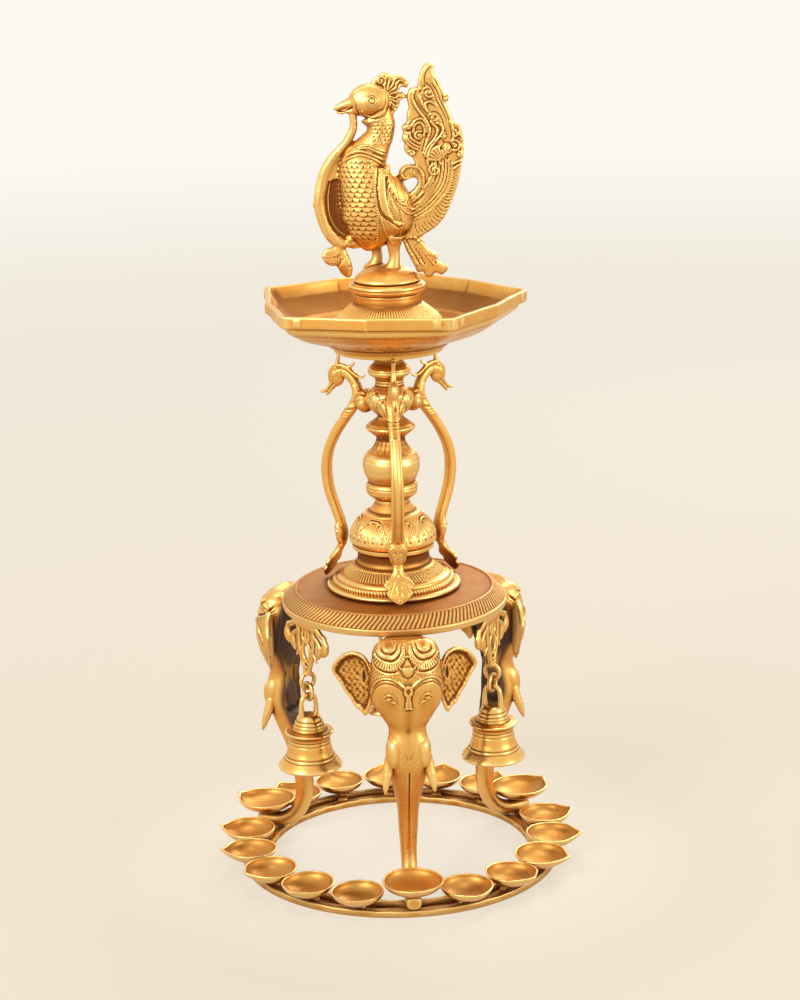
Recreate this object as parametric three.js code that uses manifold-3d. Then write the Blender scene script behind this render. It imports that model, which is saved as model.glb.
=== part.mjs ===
// A standing oil lamp in cast and turned brass: a peacock over a five-spouted bowl, a turned stem with
// three bird-headed brackets, a round platform carried by three elephant heads, hanging bells and a ring
// of oil cups.
// Millimetres, +Z up, origin on the ground under the middle of the base ring.
import * as THREE from 'three';
import { mergeVertices } from 'three/addons/utils/BufferGeometryUtils.js';
import Module from 'manifold-3d';

const wasm = await Module();
wasm.setup();

// Fits
const clearance = 0.3; // between two pieces that touch
const rodClearance = 0.4; // round the tie rod

// Base ring and oil cups
const ringOuter = 122.5;
const ringInner = 100.5;
const ringHeight = 5;
const railWidth = 6.4;
const ringFloor = 2;
const cupsBetweenTrunks = 5;
const cupPitchRadius = 118;
const cupTipRadius = 143; // where every cup's spout ends
const cupRadius = 20;
const cupDepth = 9;
const cupWall = 1.8;
const cupRimHeight = 18.8;
const cupStemRadius = 4;
const trunkCupRadius = 23;
const trunkCupCentre = 116.5;

// Elephant legs
const legCount = 3;
const trunkEndHalfHeight = 5.6;
const earThickness = 3.4;
const headInset = 9; // from the platform's edge in to the head's own zero
const legScrewRadius = 2.5;
const legScrewHeadRadius = 4.5;
const screwShare = 0.35; // of the width of the platform's rim, from its inner edge

// Platform
const platformBottom = 204;
const platformRadius = 85;
const platformHeight = 14.2;
const platformTopRadius = 74.4;
const platformPlate = 7;
const recessRadius = 68;

// Tie rod, washer and nut
const rodRadius = 4;
const nutRadius = 7.5;
const nutHeight = 3.2;
const washerRadius = 11;
const washerHeight = 1.6;
const rodIntoPeacock = 8;

// Bells and what they hang from
const bellPlace = 80; // from the lamp's axis
const bellRim = 24;
const bellHeight = 41.5;
const bellWall = 2;
const bellLoopHalfWidth = 6.3;
const bellLoopWire = 1.7;
const bellLoopRise = 15;
const eyeHole = 4;
const eyeWire = 1.7;
const eyeHeight = 158.5;
const linkRadius = 6.2;
const linkWire = 1.5;
const hangerThickness = 4;
const hangerWidth = 55.2;
const clapperBall = 4.6;
const clapperLength = 27;

// Turned stem
const lowerStemRadius = 50.7;
const lowerStemHeight = 67.4;
const middleStemRadius = 21.6;
const middleStemHeight = 63.6;
const upperStemRadius = 17.8;
const upperStemHeight = 48.8;

// Oil bowl, with the fluted dome and the collar in it
const bowlSpouts = 5;
const bowlTurn = 21.7; // degrees, from the front to the first spout
const bowlSideRadius = 90.5;
const bowlSpoutRadius = 106;
const bowlHeight = 40;
const bowlRimBand = 7.8;
const bowlWall = 4;
const bowlFloor = 12.2;
const domeRadius = 44;
const domeHeight = 30.4;
const pedestalRadius = 28.2;
const pedestalHeight = 8;

// Peacock
const peacockTurn = -4.3; // degrees, from facing square to the left
const peacockHeight = 157.6;
const tailThickness = 9;

const degrees = Math.PI / 180;

// A closed body: shared vertices merged, collapsed faces dropped, all faces pointing out
function closed(geometry) {
  geometry.deleteAttribute('normal');
  geometry.deleteAttribute('uv');
  const merged = mergeVertices(geometry, 1e-4);
  const index = [];
  for (let i = 0; i < merged.index.count; i += 3) {
    const face = [0, 1, 2].map((k) => merged.index.getX(i + k));
    if (new Set(face).size === 3) index.push(...face);
  }
  const body = new THREE.BufferGeometry();
  body.setAttribute('position', merged.getAttribute('position'));
  body.setIndex(volume(merged, index) < 0 ? index.reverse() : index);
  return body;
}

function volume(geometry, index) {
  const position = geometry.getAttribute('position');
  const [a, b, c] = [new THREE.Vector3(), new THREE.Vector3(), new THREE.Vector3()];
  let total = 0;
  for (let i = 0; i < index.length; i += 3) {
    a.fromBufferAttribute(position, index[i]);
    b.fromBufferAttribute(position, index[i + 1]);
    c.fromBufferAttribute(position, index[i + 2]);
    total += a.dot(b.cross(c)) / 6;
  }
  return total;
}

function toSolid(geometry) {
  const vertProperties = new Float32Array(geometry.getAttribute('position').array);
  const triVerts = new Uint32Array(geometry.index.array);
  return new wasm.Manifold(new wasm.Mesh({ numProp: 3, vertProperties, triVerts }));
}

function fromSolid(solid) {
  const mesh = solid.getMesh();
  const geometry = new THREE.BufferGeometry();
  geometry.setAttribute('position', new THREE.BufferAttribute(new Float32Array(mesh.vertProperties), 3));
  geometry.setIndex(Array.from(mesh.triVerts));
  return geometry;
}

function join(...bodies) {
  return fromSolid(bodies.map(toSolid).reduce((whole, body) => whole.add(body)));
}

function carve(body, ...tools) {
  return fromSolid(tools.map(toSolid).reduce((whole, tool) => whole.subtract(tool), toSolid(body)));
}

// A skin over a row of rings with the same number of points, closed at its two ends
function skin(rings) {
  const count = rings[0].length;
  const middle = (ring) => ring.reduce((sum, p) => sum.add(p), new THREE.Vector3()).divideScalar(count);
  const points = [...rings.flat(), middle(rings[0]), middle(rings[rings.length - 1])];
  const index = [];
  for (let i = 0; i < count; i += 1) {
    const next = (i + 1) % count;
    for (let k = 0; k < rings.length - 1; k += 1) {
      const [low, high] = [k * count, (k + 1) * count];
      index.push(low + i, low + next, high + next, low + i, high + next, high + i);
    }
    const last = (rings.length - 1) * count;
    index.push(points.length - 2, next, i, points.length - 1, last + i, last + next);
  }
  const geometry = new THREE.BufferGeometry();
  geometry.setAttribute('position', new THREE.Float32BufferAttribute(points.flatMap((p) => p.toArray()), 3));
  geometry.setIndex(index);
  return closed(geometry);
}

function around(count, pointAt) {
  return Array.from({ length: count }, (_, i) => pointAt((2 * Math.PI * i) / count));
}

// Revolved round the lamp's axis from a profile of [radius, height], bored for the tie rod where bore is set
function turned(profile, segments, bore = 0) {
  const first = [bore, profile[0][1]];
  const last = [bore, profile[profile.length - 1][1]];
  return revolved(bore > 0 ? [first, ...profile, last, first] : [first, ...profile, last], segments);
}

function revolved(outline, segments) {
  const lathe = new THREE.LatheGeometry(outline.map(([r, z]) => new THREE.Vector2(r, z)), segments);
  return closed(lathe.rotateX(Math.PI / 2));
}

// A rounded limb along a path in the XZ plane: each station is [x, z, half depth, half width],
// with its width along Y. Box makes the section squarer as it goes down from 1.
function limb(path, sides = 12, box = 1) {
  const bulge = (value) => Math.sign(value) * Math.abs(value) ** box;
  return skin(path.map(([x, z, depth, width], i) => {
    const [xa, za] = path[Math.max(i - 1, 0)];
    const [xb, zb] = path[Math.min(i + 1, path.length - 1)];
    const run = new THREE.Vector2(xb - xa, zb - za).normalize();
    return around(sides, (turn) => {
      const out = depth * bulge(Math.cos(turn));
      return new THREE.Vector3(x + run.y * out, width * bulge(Math.sin(turn)), z - run.x * out);
    });
  }));
}

// A round tapering horn through points in space
function horn(points, radii, sides = 6) {
  const curve = new THREE.CatmullRomCurve3(points.map((p) => new THREE.Vector3(...p)));
  const steps = radii.length - 1;
  const frames = curve.computeFrenetFrames(steps, false);
  return skin(radii.map((radius, i) => around(sides, (turn) => curve.getPoint(i / steps)
    .addScaledVector(frames.normals[i], radius * Math.cos(turn))
    .addScaledVector(frames.binormals[i], radius * Math.sin(turn)))));
}

// A plate of even thickness standing in the XZ plane, its middle on Y = 0
function plate(outline, thickness, holes = []) {
  const points = (rows) => rows.map(([x, z]) => new THREE.Vector2(x, z));
  const edge = points(outline);
  const shape = new THREE.Shape(THREE.ShapeUtils.isClockWise(edge) ? edge.reverse() : edge);
  shape.holes = holes.map((hole) => new THREE.Path(points(hole)));
  const body = new THREE.ExtrudeGeometry(shape, { depth: thickness, bevelEnabled: false });
  return closed(body.translate(0, 0, -thickness / 2).rotateX(Math.PI / 2));
}

function block(x, y, z, centre) {
  return closed(new THREE.BoxGeometry(x, y, z).translate(...centre));
}

function post(radius, bottom, top, sides, x = 0) {
  const body = new THREE.CylinderGeometry(radius, radius, top - bottom, sides);
  return closed(body.rotateX(Math.PI / 2).translate(x, 0, (bottom + top) / 2));
}

function ball(centre, halfSizes, columns = 10, rows = 7) {
  return closed(new THREE.SphereGeometry(1, columns, rows).scale(...halfSizes).translate(...centre));
}

function oval(x, z, halfX, halfZ, count) {
  return around(count, (turn) => [x + halfX * Math.cos(turn), z + halfZ * Math.sin(turn)]);
}

const lamp = new THREE.Group();
lamp.name = 'peacock_oil_lamp';

function brass(colour = 0xd8a24a, roughness = 0.36) {
  return new THREE.MeshStandardMaterial({ color: colour, roughness, metalness: 1 });
}

function add(name, geometry, material = brass()) {
  const mesh = new THREE.Mesh(geometry, material);
  mesh.name = name;
  lamp.add(mesh);
  return mesh;
}

// A piece drawn with +X pointing away from the axis is turned to its azimuth: 0 is the front, at -Y
function addAt(azimuth, name, geometry, material) {
  add(name, geometry, material).rotation.z = (azimuth - 90) * degrees;
}

// Base ring: two rails with a channel between them, cast in one, resting flat on the ground
const railTop = 1.2;
const outerRail = ringOuter - railWidth;
const innerRail = ringInner + railWidth;
add('base_ring', revolved([
  [ringInner, 0], [ringOuter, 0], [ringOuter, ringHeight - railTop], [ringOuter - railTop, ringHeight],
  [outerRail, ringHeight], [outerRail, ringFloor], [innerRail, ringFloor], [innerRail, ringHeight],
  [ringInner, ringHeight], [ringInner, 0],
], 36));

// Oil cup: a round dish drawn out to a pointed spout, with its stem in the ring's channel
const cupSides = 8;
const spoutSpread = 30 * degrees;
function cupOutline(centre, radius, tip, inset, height) {
  return around(cupSides, (turn) => {
    const off = Math.min(turn, 2 * Math.PI - turn) / spoutSpread;
    const reach = radius + (tip - centre - radius) * Math.exp(-off * off) - inset;
    return new THREE.Vector3(centre + reach * Math.cos(turn), reach * Math.sin(turn), height);
  });
}

function cup(centre, radius, rim, stem) {
  const under = rim - cupDepth - cupWall;
  const disc = (share, height) => cupOutline(centre, radius * share, centre + radius * share, 0, height);
  const dish = [
    disc(0.5, under),
    cupOutline(centre, radius, cupTipRadius, 0, rim),
    cupOutline(centre, radius, cupTipRadius, cupWall, rim),
    disc(0.5, rim - cupDepth),
  ];
  return skin([...stem(under), ...dish]);
}

const channelMiddle = (ringOuter + ringInner) / 2;
const stemRing = (height) => around(cupSides, (turn) => new THREE.Vector3(
  channelMiddle + cupStemRadius * Math.cos(turn), cupStemRadius * Math.sin(turn), height));
const ringCup = cup(cupPitchRadius, cupRadius, cupRimHeight,
  (under) => [stemRing(ringFloor + clearance), stemRing(under - clearance)]);

// The trunk's end lies on the ring's rails and its cup sits on it
const trunkEndMiddle = ringHeight + clearance + trunkEndHalfHeight;
const trunkCupUnder = trunkEndMiddle + trunkEndHalfHeight + clearance;
const trunkCup = cup(trunkCupCentre, trunkCupRadius, trunkCupUnder + cupWall + cupDepth, () => []);

const cupCount = legCount * (cupsBetweenTrunks + 1);
for (let i = 0; i < cupCount; i += 1) {
  const azimuth = (360 * i) / cupCount;
  const onTrunk = i % (cupsBetweenTrunks + 1) === 0;
  const name = onTrunk ? `trunk_cup_${1 + i / (cupsBetweenTrunks + 1)}` : `ring_cup_${azimuth}`;
  addAt(azimuth, name, (onTrunk ? trunkCup : ringCup).clone());
}

// Platform: a dished plate with a thick rim, its sloping edge fluted, bored for the tie rod
const bore = rodRadius + rodClearance;
const platformTop = platformBottom + platformHeight;
const plateUnder = platformTop - platformPlate;
const bandTop = platformBottom + 5;
const platformBlank = revolved([
  [bore, plateUnder], [recessRadius, plateUnder], [recessRadius, platformBottom],
  [platformRadius - 0.8, platformBottom], [platformRadius, platformBottom + 0.9], [platformRadius, bandTop],
  [platformTopRadius + 0.4, platformTop - 0.5], [platformTopRadius - 0.6, platformTop],
  [bore, platformTop], [bore, plateUnder],
], 30);
const screwPlace = recessRadius + (platformRadius - recessRadius) * screwShare;
const screwTip = platformBottom + 7.5;
const legAzimuths = Array.from({ length: legCount }, (_, i) => (360 * i) / legCount);
const screwHoles = legAzimuths.map((azimuth) => post(
  legScrewRadius + clearance, platformBottom - 1, screwTip + clearance, 8, screwPlace,
).rotateZ((azimuth - 90) * degrees));
add('platform', carve(platformBlank, ...screwHoles));

// Elephant leg: head under the platform's rim, trunk curving down and out to the ring.
// Stations on the head follow the platform, those on the trunk follow the ring.
const head = platformRadius - headInset;
const brow = platformBottom;
const foot = trunkCupCentre;
const toe = trunkEndMiddle;
const legSpine = [
  [head + 13, brow - 0.5, 12, 17.5],
  [head + 16, brow - 10, 17, 24.5],
  [head + 19, brow - 26, 18, 26.3],
  [head + 20.5, brow - 42, 17.5, 26],
  [head + 20, brow - 54, 15, 20.5],
  [head + 20, brow - 65, 11, 13.8],
  [head + 22, brow - 76, 11, 14.2],
  [head + 22, brow - 88, 13, 16.7],
  [head + 18, brow - 104, 11.6, 13.2],
  [head + 11, brow - 128, 9, 8.6],
  [foot - 33.4, toe + 44, 7.6, 7.2],
  [foot - 33.4, toe + 24, 6.8, 6],
  [foot - 26.4, toe + 8.6, 6, 5.8],
  [foot - 14, toe + 1.2, trunkEndHalfHeight, 6],
  [foot + 7.5, toe, trunkEndHalfHeight, 6.5],
];

// Fan ear: a rolled rim round a hollow, hinged back from the cheek
const earOutline = [
  [-2, -20], [2.4, -10], [12, -2.5], [23, -5], [31, -14], [26.5, -26], [11.5, -43], [4.6, -49.5],
  [-1, -44], [-3, -34],
];
const earSweep = 24 * degrees;
function ear(side) {
  const ring = (share, depth) => earOutline.map(([across, up]) => {
    const [u, v] = [10 + (across - 10) * share, -25 + (up + 25) * share];
    return new THREE.Vector3(
      head + 19 - u * Math.sin(earSweep) + depth,
      side * (26 + u * Math.cos(earSweep)),
      brow + v,
    );
  });
  return skin([ring(0.94, -earThickness), ring(1, 0), ring(0.76, -0.4)]);
}

function tusk(side) {
  return horn([
    [head + 15, side * 11, brow - 86],
    [head + 21, side * 16, brow - 98],
    [head + 27, side * 17.6, brow - 109],
    [head + 32, side * 18.4, brow - 119],
  ], [4.4, 4.2, 3.4, 1.2], 5);
}

function headDome(side) {
  return ball([head + 19, side * 11.5, brow - 9.5], [12, 11.5, 10.5], 8, 4);
}

const lugThickness = 7;
const lugTop = platformBottom - clearance;
const lugUnder = lugTop - lugThickness;
const screwLug = block(head + 12 - recessRadius, 15, lugThickness,
  [(recessRadius + head + 12) / 2, 0, lugTop - lugThickness / 2]);
const underPlatform = post(platformRadius + clearance, platformBottom - clearance, platformTop + 5, 30);
const screwHole = post(legScrewRadius + clearance, lugUnder - 1, platformBottom, 8, screwPlace);
const legRough = join(limb(legSpine, 10, 0.9), ...[-1, 1].flatMap((side) => [
  ear(side), tusk(side), headDome(side),
]), screwLug);
const screwNotch = post(legScrewHeadRadius + 2 * clearance, lugUnder - 14, lugUnder, 10, screwPlace);
const cupSeat = post(trunkCupRadius * 0.6, trunkCupUnder - clearance, trunkCupUnder + 8, 10, trunkCupCentre);
const elephantLeg = carve(legRough, underPlatform, screwHole, screwNotch, cupSeat);

const legScrewHead = 3;
const screwSeat = lugUnder - clearance;
const legScrew = join(
  post(legScrewHeadRadius, screwSeat - legScrewHead, screwSeat, 8, screwPlace),
  post(legScrewRadius, screwSeat - 1, screwTip, 6, screwPlace),
);
legAzimuths.forEach((azimuth, i) => {
  addAt(azimuth, `elephant_leg_${i + 1}`, elephantLeg.clone());
  addAt(azimuth, `leg_screw_${i + 1}`, legScrew.clone(), brass(0xb98a3c));
});

// Turned stem, in three stacked pieces. A profile is drawn as [radius, height above the piece's own foot],
// from foot to top, and is then brought to the piece's widest radius and its height.
const topOf = (profile) => profile[profile.length - 1][1];
function onto(below, widest, height, drawn) {
  const drawnRadius = Math.max(...drawn.map(([radius]) => radius));
  return drawn.map(([radius, up]) => [
    (radius * widest) / drawnRadius, below + clearance + (up * height) / topOf(drawn),
  ]);
}

const lowerStemProfile = onto(platformTop, lowerStemRadius, lowerStemHeight, [
  [49.6, 0], [50.7, 1.8], [49.2, 3.6], [46.2, 4.2], [45.6, 7.2], [38.8, 9], [30.6, 17], [26.8, 23.8],
  [27.2, 28.6], [30.8, 30.6], [30.8, 33.4], [32.7, 35], [32.6, 42], [23.2, 54.6], [15.8, 61.4],
  [12.8, 67.4],
]);
add('stem_lower', turned(lowerStemProfile, 20, bore));

const middleStemProfile = onto(topOf(lowerStemProfile), middleStemRadius, middleStemHeight, [
  [12.8, 0], [17.4, 3.2], [19.4, 6.6], [19.4, 11], [17.6, 12.8], [21, 21], [21.6, 26.6],
  [19.4, 34], [11, 43], [10.6, 48], [18.6, 55.4], [11.2, 61.6], [9.4, 63.6],
]);
add('stem_middle', turned(middleStemProfile, 18, bore));

const upperStemProfile = onto(topOf(middleStemProfile), upperStemRadius, upperStemHeight, [
  [9.4, 0], [13.8, 3.6], [17.2, 9.8], [17.8, 13.6], [15.4, 18.6], [10.8, 22.6], [10.8, 27.4],
  [15.9, 32], [15.2, 36.4], [10.2, 41], [10.2, 44.6], [13, 48.8],
]);
add('stem_upper', turned(upperStemProfile, 18, bore));

// Oil bowl: a shallow dish whose rim runs out into five wick spouts, on a low foot ring
const bowlFoot = topOf(upperStemProfile) + clearance;
const bowlPoints = 6 * bowlSpouts;
const sector = 360 / bowlSpouts;
const halfSector = sector / 2;
const flatSide = bowlSpoutRadius * Math.cos(halfSector * degrees);
function bowlReach(turn) {
  const off = Math.abs(((turn / degrees + halfSector) % sector) - halfSector);
  const bow = (bowlSideRadius - flatSide) * (off / halfSector) ** 1.5;
  return flatSide / Math.cos((halfSector - off) * degrees) + bow;
}
function bowlRing(height, radius, spout = 0) {
  return around(bowlPoints, (turn) => {
    const reach = radius + (bowlReach(turn) - radius) * spout;
    return new THREE.Vector3(reach * Math.cos(turn), reach * Math.sin(turn), bowlFoot + height);
  });
}
const bandFoot = bowlHeight - bowlRimBand;
const [side, rim, deep] = [bowlSideRadius, bowlHeight, bowlHeight - bowlFloor];
const bowlBody = skin([
  bowlRing(0, side * 0.44), bowlRing(rim * 0.105, side * 0.457), bowlRing(rim * 0.31, side * 0.707),
  bowlRing(rim * 0.465, side * 0.862), bowlRing(rim * 0.66, side * 0.944), bowlRing(bandFoot, side - 2, 0.86),
  bowlRing(bandFoot + 0.6, 0, 1), bowlRing(rim, 0, 1), bowlRing(rim, side - bowlWall, 0.82),
  bowlRing(bowlFloor + deep * 0.88, side * 0.923), bowlRing(bowlFloor + deep * 0.6, side * 0.884),
  bowlRing(bowlFloor + deep * 0.28, side * 0.751), bowlRing(bowlFloor, domeRadius + 2),
]).rotateZ((bowlTurn - 90) * degrees);
const bowlThrough = post(bore, bowlFoot - 1, bowlFoot + bowlHeight, 16);
add('oil_bowl', carve(bowlBody, bowlThrough));

// Fluted dome in the bowl and the collar under the peacock
const domeProfile = onto(bowlFoot + bowlFloor, domeRadius, domeHeight, [
  [43.6, 0], [44, 2.4], [42, 8.6], [37.4, 14.4], [31.4, 18.6], [26.4, 22], [25, 23.2], [25, 30.4],
]);
add('bowl_dome', turned(domeProfile, 22, bore));

const pedestalProfile = onto(topOf(domeProfile), pedestalRadius, pedestalHeight, [
  [25.4, 0], [28.2, 2], [28.2, 6], [25.4, 8],
]);
add('peacock_pedestal', turned(pedestalProfile, 20, bore));

// Peacock: one casting on a low mound, facing left, with a garland in its beak and an upright tail.
// The rows below are [x, height above the mound's foot, sizes], with the tail towards +X, drawn for a bird
// of drawnHeight and then brought to the real one.
const mound = topOf(pedestalProfile) + clearance;
const drawnHeight = 157.6;
const birdScale = peacockHeight / drawnHeight;
const lift = (rows) => rows.map((row) => row.map((size, i) => size * birdScale + (i === 1 ? mound : 0)));

const peacockBody = limb(lift([
  [-2.5, 122, 12.2, 8.4], [0.7, 115, 10.3, 8.6], [-0.6, 106, 9.9, 8.8], [-4.7, 98.5, 12.5, 10.2],
  [-8.6, 92.6, 14.6, 12], [-12.4, 87, 16.8, 13.6], [-12.3, 79.6, 18.5, 15], [-10.1, 71, 21.2, 16.4],
  [-6.4, 62, 25.2, 17.4], [-4, 53.2, 27, 17.2], [-3, 44.8, 25.8, 16], [-3.2, 36.6, 22.2, 13.8],
  [-2.6, 30, 16.4, 10.6], [-1, 25, 11, 6.4],
]), 10);
const headHalfSizes = [16.8, 9.2, 12.8].map((half) => half * birdScale);
const peacockHead = ball([-5.4 * birdScale, 0, mound + 131.2 * birdScale], headHalfSizes, 10, 7);
const peacockBeak = limb(lift([[-17, 128.4, 6.6, 4.6], [-24.6, 127.4, 3.6, 3.4], [-32, 125.8, 1.2, 1.8]]), 6);
const crestOutline = lift([
  [-4, 139], [-1.6, 147.2], [2.8, 151], [6.9, 151.2], [9.9, 149], [14.6, 148.8], [19.2, 146.6], [21.6, 142.6],
  [20.4, 138.8], [17.4, 138], [18.6, 132], [14.1, 126.8], [11, 121.4], [4, 127],
]);
const garland = limb(lift([
  [-20, 123, 2.2, 2], [-18.6, 112, 3, 2.8], [-25, 101, 3.2, 3], [-34.6, 90, 3.4, 3.2],
  [-40.8, 79, 4.6, 3.4], [-46, 61, 3.8, 3.4], [-45.4, 51, 3.8, 3.4],
  [-42.4, 42, 4, 3.4], [-37.6, 33, 4.6, 3.4], [-31, 27, 4.6, 3.4], [-21, 27.4, 3.6, 3.2],
]), 6);
const garlandWeb = plate(lift([[-40, 84], [-30, 90], [-26, 80], [-30, 71], [-41, 74]]), 5);
const scrollRadius = 6.6 * birdScale;
const scrollMiddle = [-41 * birdScale, mound + 18 * birdScale];
const garlandScroll = plate(oval(...scrollMiddle, scrollRadius, scrollRadius, 10), 6.4);
const garlandLeaf = limb(lift([
  [-38, 27, 4.4, 3], [-34.6, 19, 5.4, 3.2], [-31.4, 10, 4.8, 3], [-30, 3.4, 2, 1.4],
]), 6);
const tailOutline = lift([
  [8, 52], [14, 60], [21.1, 65], [23.4, 69.3], [21.3, 73.6], [16.4, 73.6], [13.6, 77.4], [15.7, 81.2],
  [24.8, 84.4], [22.4, 91], [18.1, 93.4], [15.4, 101.6], [16.3, 110], [20.6, 125.4], [20.6, 137],
  [24.6, 140], [27.8, 139], [30.2, 151.4], [35.2, 157.6], [40.9, 156.2], [40.1, 152], [46.3, 136.4],
  [49.9, 132.2], [48.4, 127], [56.2, 114], [60.2, 105.4], [60.6, 93], [56.8, 70.8], [52.2, 55.2],
  [44.7, 43.4], [35.1, 34.8], [24.8, 30.4], [12, 30],
]);
const lowerTail = plate(lift([
  [10, 38], [14.4, 28.6], [18, 18.2], [22.1, 6], [27.2, 4], [32.2, 1.4], [37.4, 2.4], [43, 5.6],
  [45.6, 10.4], [41.2, 12], [38.4, 15.6], [36.3, 20.4], [30.5, 26], [27, 34.4],
]), 8);
const legLeft = limb(lift([[-7, 31, 6, 6], [-5, 22, 3.6, 4], [-5.6, 16, 3.4, 3.8], [-8.4, 9, 6.4, 5]]), 6);
const legRight = limb(lift([[8, 32, 6, 6], [7.8, 23.6, 3.6, 4], [7.6, 15, 3.4, 3.8], [4.8, 8, 6.4, 5]]), 6);
const peacockMound = turned(lift([
  [24.6, 0], [24.6, 2], [20.4, 6.6], [14.6, 10.4], [8, 12.2],
]), 18);
const peacock = carve(join(
  peacockBody, peacockHead, peacockBeak, plate(crestOutline, 6), garland, garlandWeb, garlandScroll,
  garlandLeaf, plate(tailOutline, tailThickness), lowerTail, legLeft.translate(0, 6 * birdScale, 0),
  legRight.translate(0, -6 * birdScale, 0), peacockMound,
), post(bore, mound - 1, mound + rodIntoPeacock + 1, 12));
add('peacock', peacock).rotation.z = peacockTurn * degrees;

// Tie rod from under the platform up into the peacock's mound, with its washer and nut
const washerTop = plateUnder - clearance;
const nutTop = washerTop - washerHeight - clearance;
const rodBottom = nutTop - nutHeight - 1;
add('tie_rod', post(rodRadius, rodBottom, mound + rodIntoPeacock, 10), brass(0xb98a3c));
const washerProfile = [[washerRadius, washerTop - washerHeight], [washerRadius, washerTop]];
add('tie_washer', turned(washerProfile, 12, bore), brass(0xb98a3c));
const nutBody = post(nutRadius, nutTop - nutHeight, nutTop, 6);
const nutHole = post(bore, nutTop - nutHeight - 1, nutTop + 1, 12);
add('tie_nut', carve(nutBody, nutHole), brass(0xb98a3c));

// Bird bracket: a strap from a leaf foot on the platform, round a collar on the stem's bulb, to a bird's head
const deck = platformTop + clearance;
const bulb = upperStemProfile[3][1];
const nape = bowlFoot;
const bracketSpine = [
  [57.6, deck + 0.9, 0.9, 2.5], [55.2, deck + 4, 1.5, 8.6], [51.8, deck + 9.6, 1.7, 8],
  [48, deck + 16.4, 1.8, 4.4], [42.8, deck + 32, 2.8, 4], [42.6, deck + 38.4, 3.8, 5.4],
  [43.6, deck + 44.6, 3, 4.6], [52.2, deck + 68, 3.3, 5],
  [54.2, deck + 90, 3.4, 5], [51.4, bulb - 43, 3.4, 5], [45.4, bulb - 31, 3.4, 5],
  [38, bulb - 20, 3.5, 5], [31.4, bulb - 10, 3.6, 5], [27.6, bulb - 1, 3.8, 5], [27, bulb + 5.4, 4, 4.8],
  [30, nape - 23, 4.1, 4.4], [38.4, nape - 19.6, 5.2, 5], [43, nape - 21.6, 5.9, 5.8],
  [46.2, nape - 26.6, 5.2, 5.2], [48.4, nape - 31.4, 2.8, 3.2], [55.4, nape - 37.4, 1.1, 1.6],
];
const bulbSeat = limb([[33, bulb + 1, 4.2, 4.2], [14, bulb - 1, 5.2, 5.2]], 6);
const bracketCrest = limb([
  [44, nape - 17.4, 3, 1.8], [42.2, nape - 10.6, 2, 1.5], [43.2, nape - clearance, 1, 1],
], 5);
const bulbEnvelope = turned(
  upperStemProfile.slice(1, 6).map(([radius, height]) => [radius + clearance, height]), 18);
const bracket = carve(join(limb(bracketSpine, 8, 0.8), bulbSeat, bracketCrest), bulbEnvelope);
legAzimuths.forEach((azimuth, i) => addAt(azimuth, `bird_bracket_${i + 1}`, bracket.clone()));

// Hanger: a pierced foliage plate under the platform's rim that ends in an eye
const hangerTop = platformBottom - clearance;
const hangerDrop = hangerTop - eyeHeight - eyeHole - eyeWire / 2;
const hung = (side, rows) => rows.map(([across, down]) => [
  (side * across * hangerWidth) / 2, hangerTop - down * hangerDrop,
]);
const hangerHalf = [
  [0.58, 0], [0.62, 0.11], [0.76, 0.11], [0.93, 0.16], [1, 0.28], [0.82, 0.51], [0.7, 0.46],
  [0.58, 0.27], [0.42, 0.6], [0.18, 0.95], [0.06, 1],
];
const hangerOutline = [...hung(1, hangerHalf), ...hung(-1, hangerHalf).reverse()];
const sideSlot = (side) => hung(side, [
  [0.18, 0.15], [0.31, 0.2], [0.35, 0.4], [0.17, 0.75], [0.23, 0.42], [0.17, 0.27],
]);
const hangerPlate = plate(hangerOutline, hangerThickness, [
  sideSlot(1), sideSlot(-1), oval(0, hangerTop - hangerDrop * 0.55, hangerWidth * 0.06, hangerDrop * 0.12, 8),
]).rotateZ(Math.PI / 2).translate(bellPlace, 0, 0);
const eyeRing = closed(new THREE.TorusGeometry(eyeHole + eyeWire, eyeWire, 5, 10)
  .rotateX(Math.PI / 2).translate(bellPlace, 0, eyeHeight));
const hanger = join(hangerPlate, eyeRing);

// Link: a ring through the eye, square to it
const eyeBottom = eyeHeight - eyeHole - eyeWire;
const linkTop = eyeBottom + eyeWire + clearance + linkWire;
const linkCentre = linkTop - linkRadius;
const link = closed(new THREE.TorusGeometry(linkRadius, linkWire, 5, 10)
  .rotateX(Math.PI / 2).rotateZ(Math.PI / 2).translate(bellPlace, 0, linkCentre));

// Bell: a turned shell under a flange, with a stirrup on its crown and a pin inside for the clapper
const linkBottom = linkCentre - linkRadius;
const loopTop = linkBottom + linkWire + clearance + bellLoopWire;
const crown = loopTop - bellLoopRise;
const bellMouth = crown - bellHeight;
const bellOuter = [
  [1, 0], [0.96, 0.07], [0.78, 0.23], [0.67, 0.38], [0.64, 0.54], [0.75, 0.62],
  [0.55, 0.71], [0.39, 0.9], [0.23, 0.98],
].map(([across, up]) => [across * bellRim, bellMouth + up * bellHeight]);
const bellInner = [[1, 0], [0.78, 0.23], [0.65, 0.44], [0.47, 0.74], [0.3, 0.86]]
  .map(([across, up]) => [across * bellRim - bellWall, bellMouth + up * bellHeight]);
const bellShell = revolved([
  [0, topOf(bellInner)], ...bellInner.reverse(), ...bellOuter, [0, crown],
], 14);
const stirrupSide = [[crown - 3, 0], [loopTop - 4.6, 0], [loopTop - 1.4, 1.2], [loopTop, 3.3]]
  .map(([z, inwards]) => [bellLoopHalfWidth - inwards, z]);
const stirrup = limb([
  ...stirrupSide.map(([x, z]) => [-x, z]), ...stirrupSide.reverse(),
].map(([x, z]) => [x, z, bellLoopWire, bellLoopWire]), 5);
const pinHeight = bellMouth + 0.757 * bellHeight;
const pinRadius = 1;
const pinLength = 21;
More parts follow.
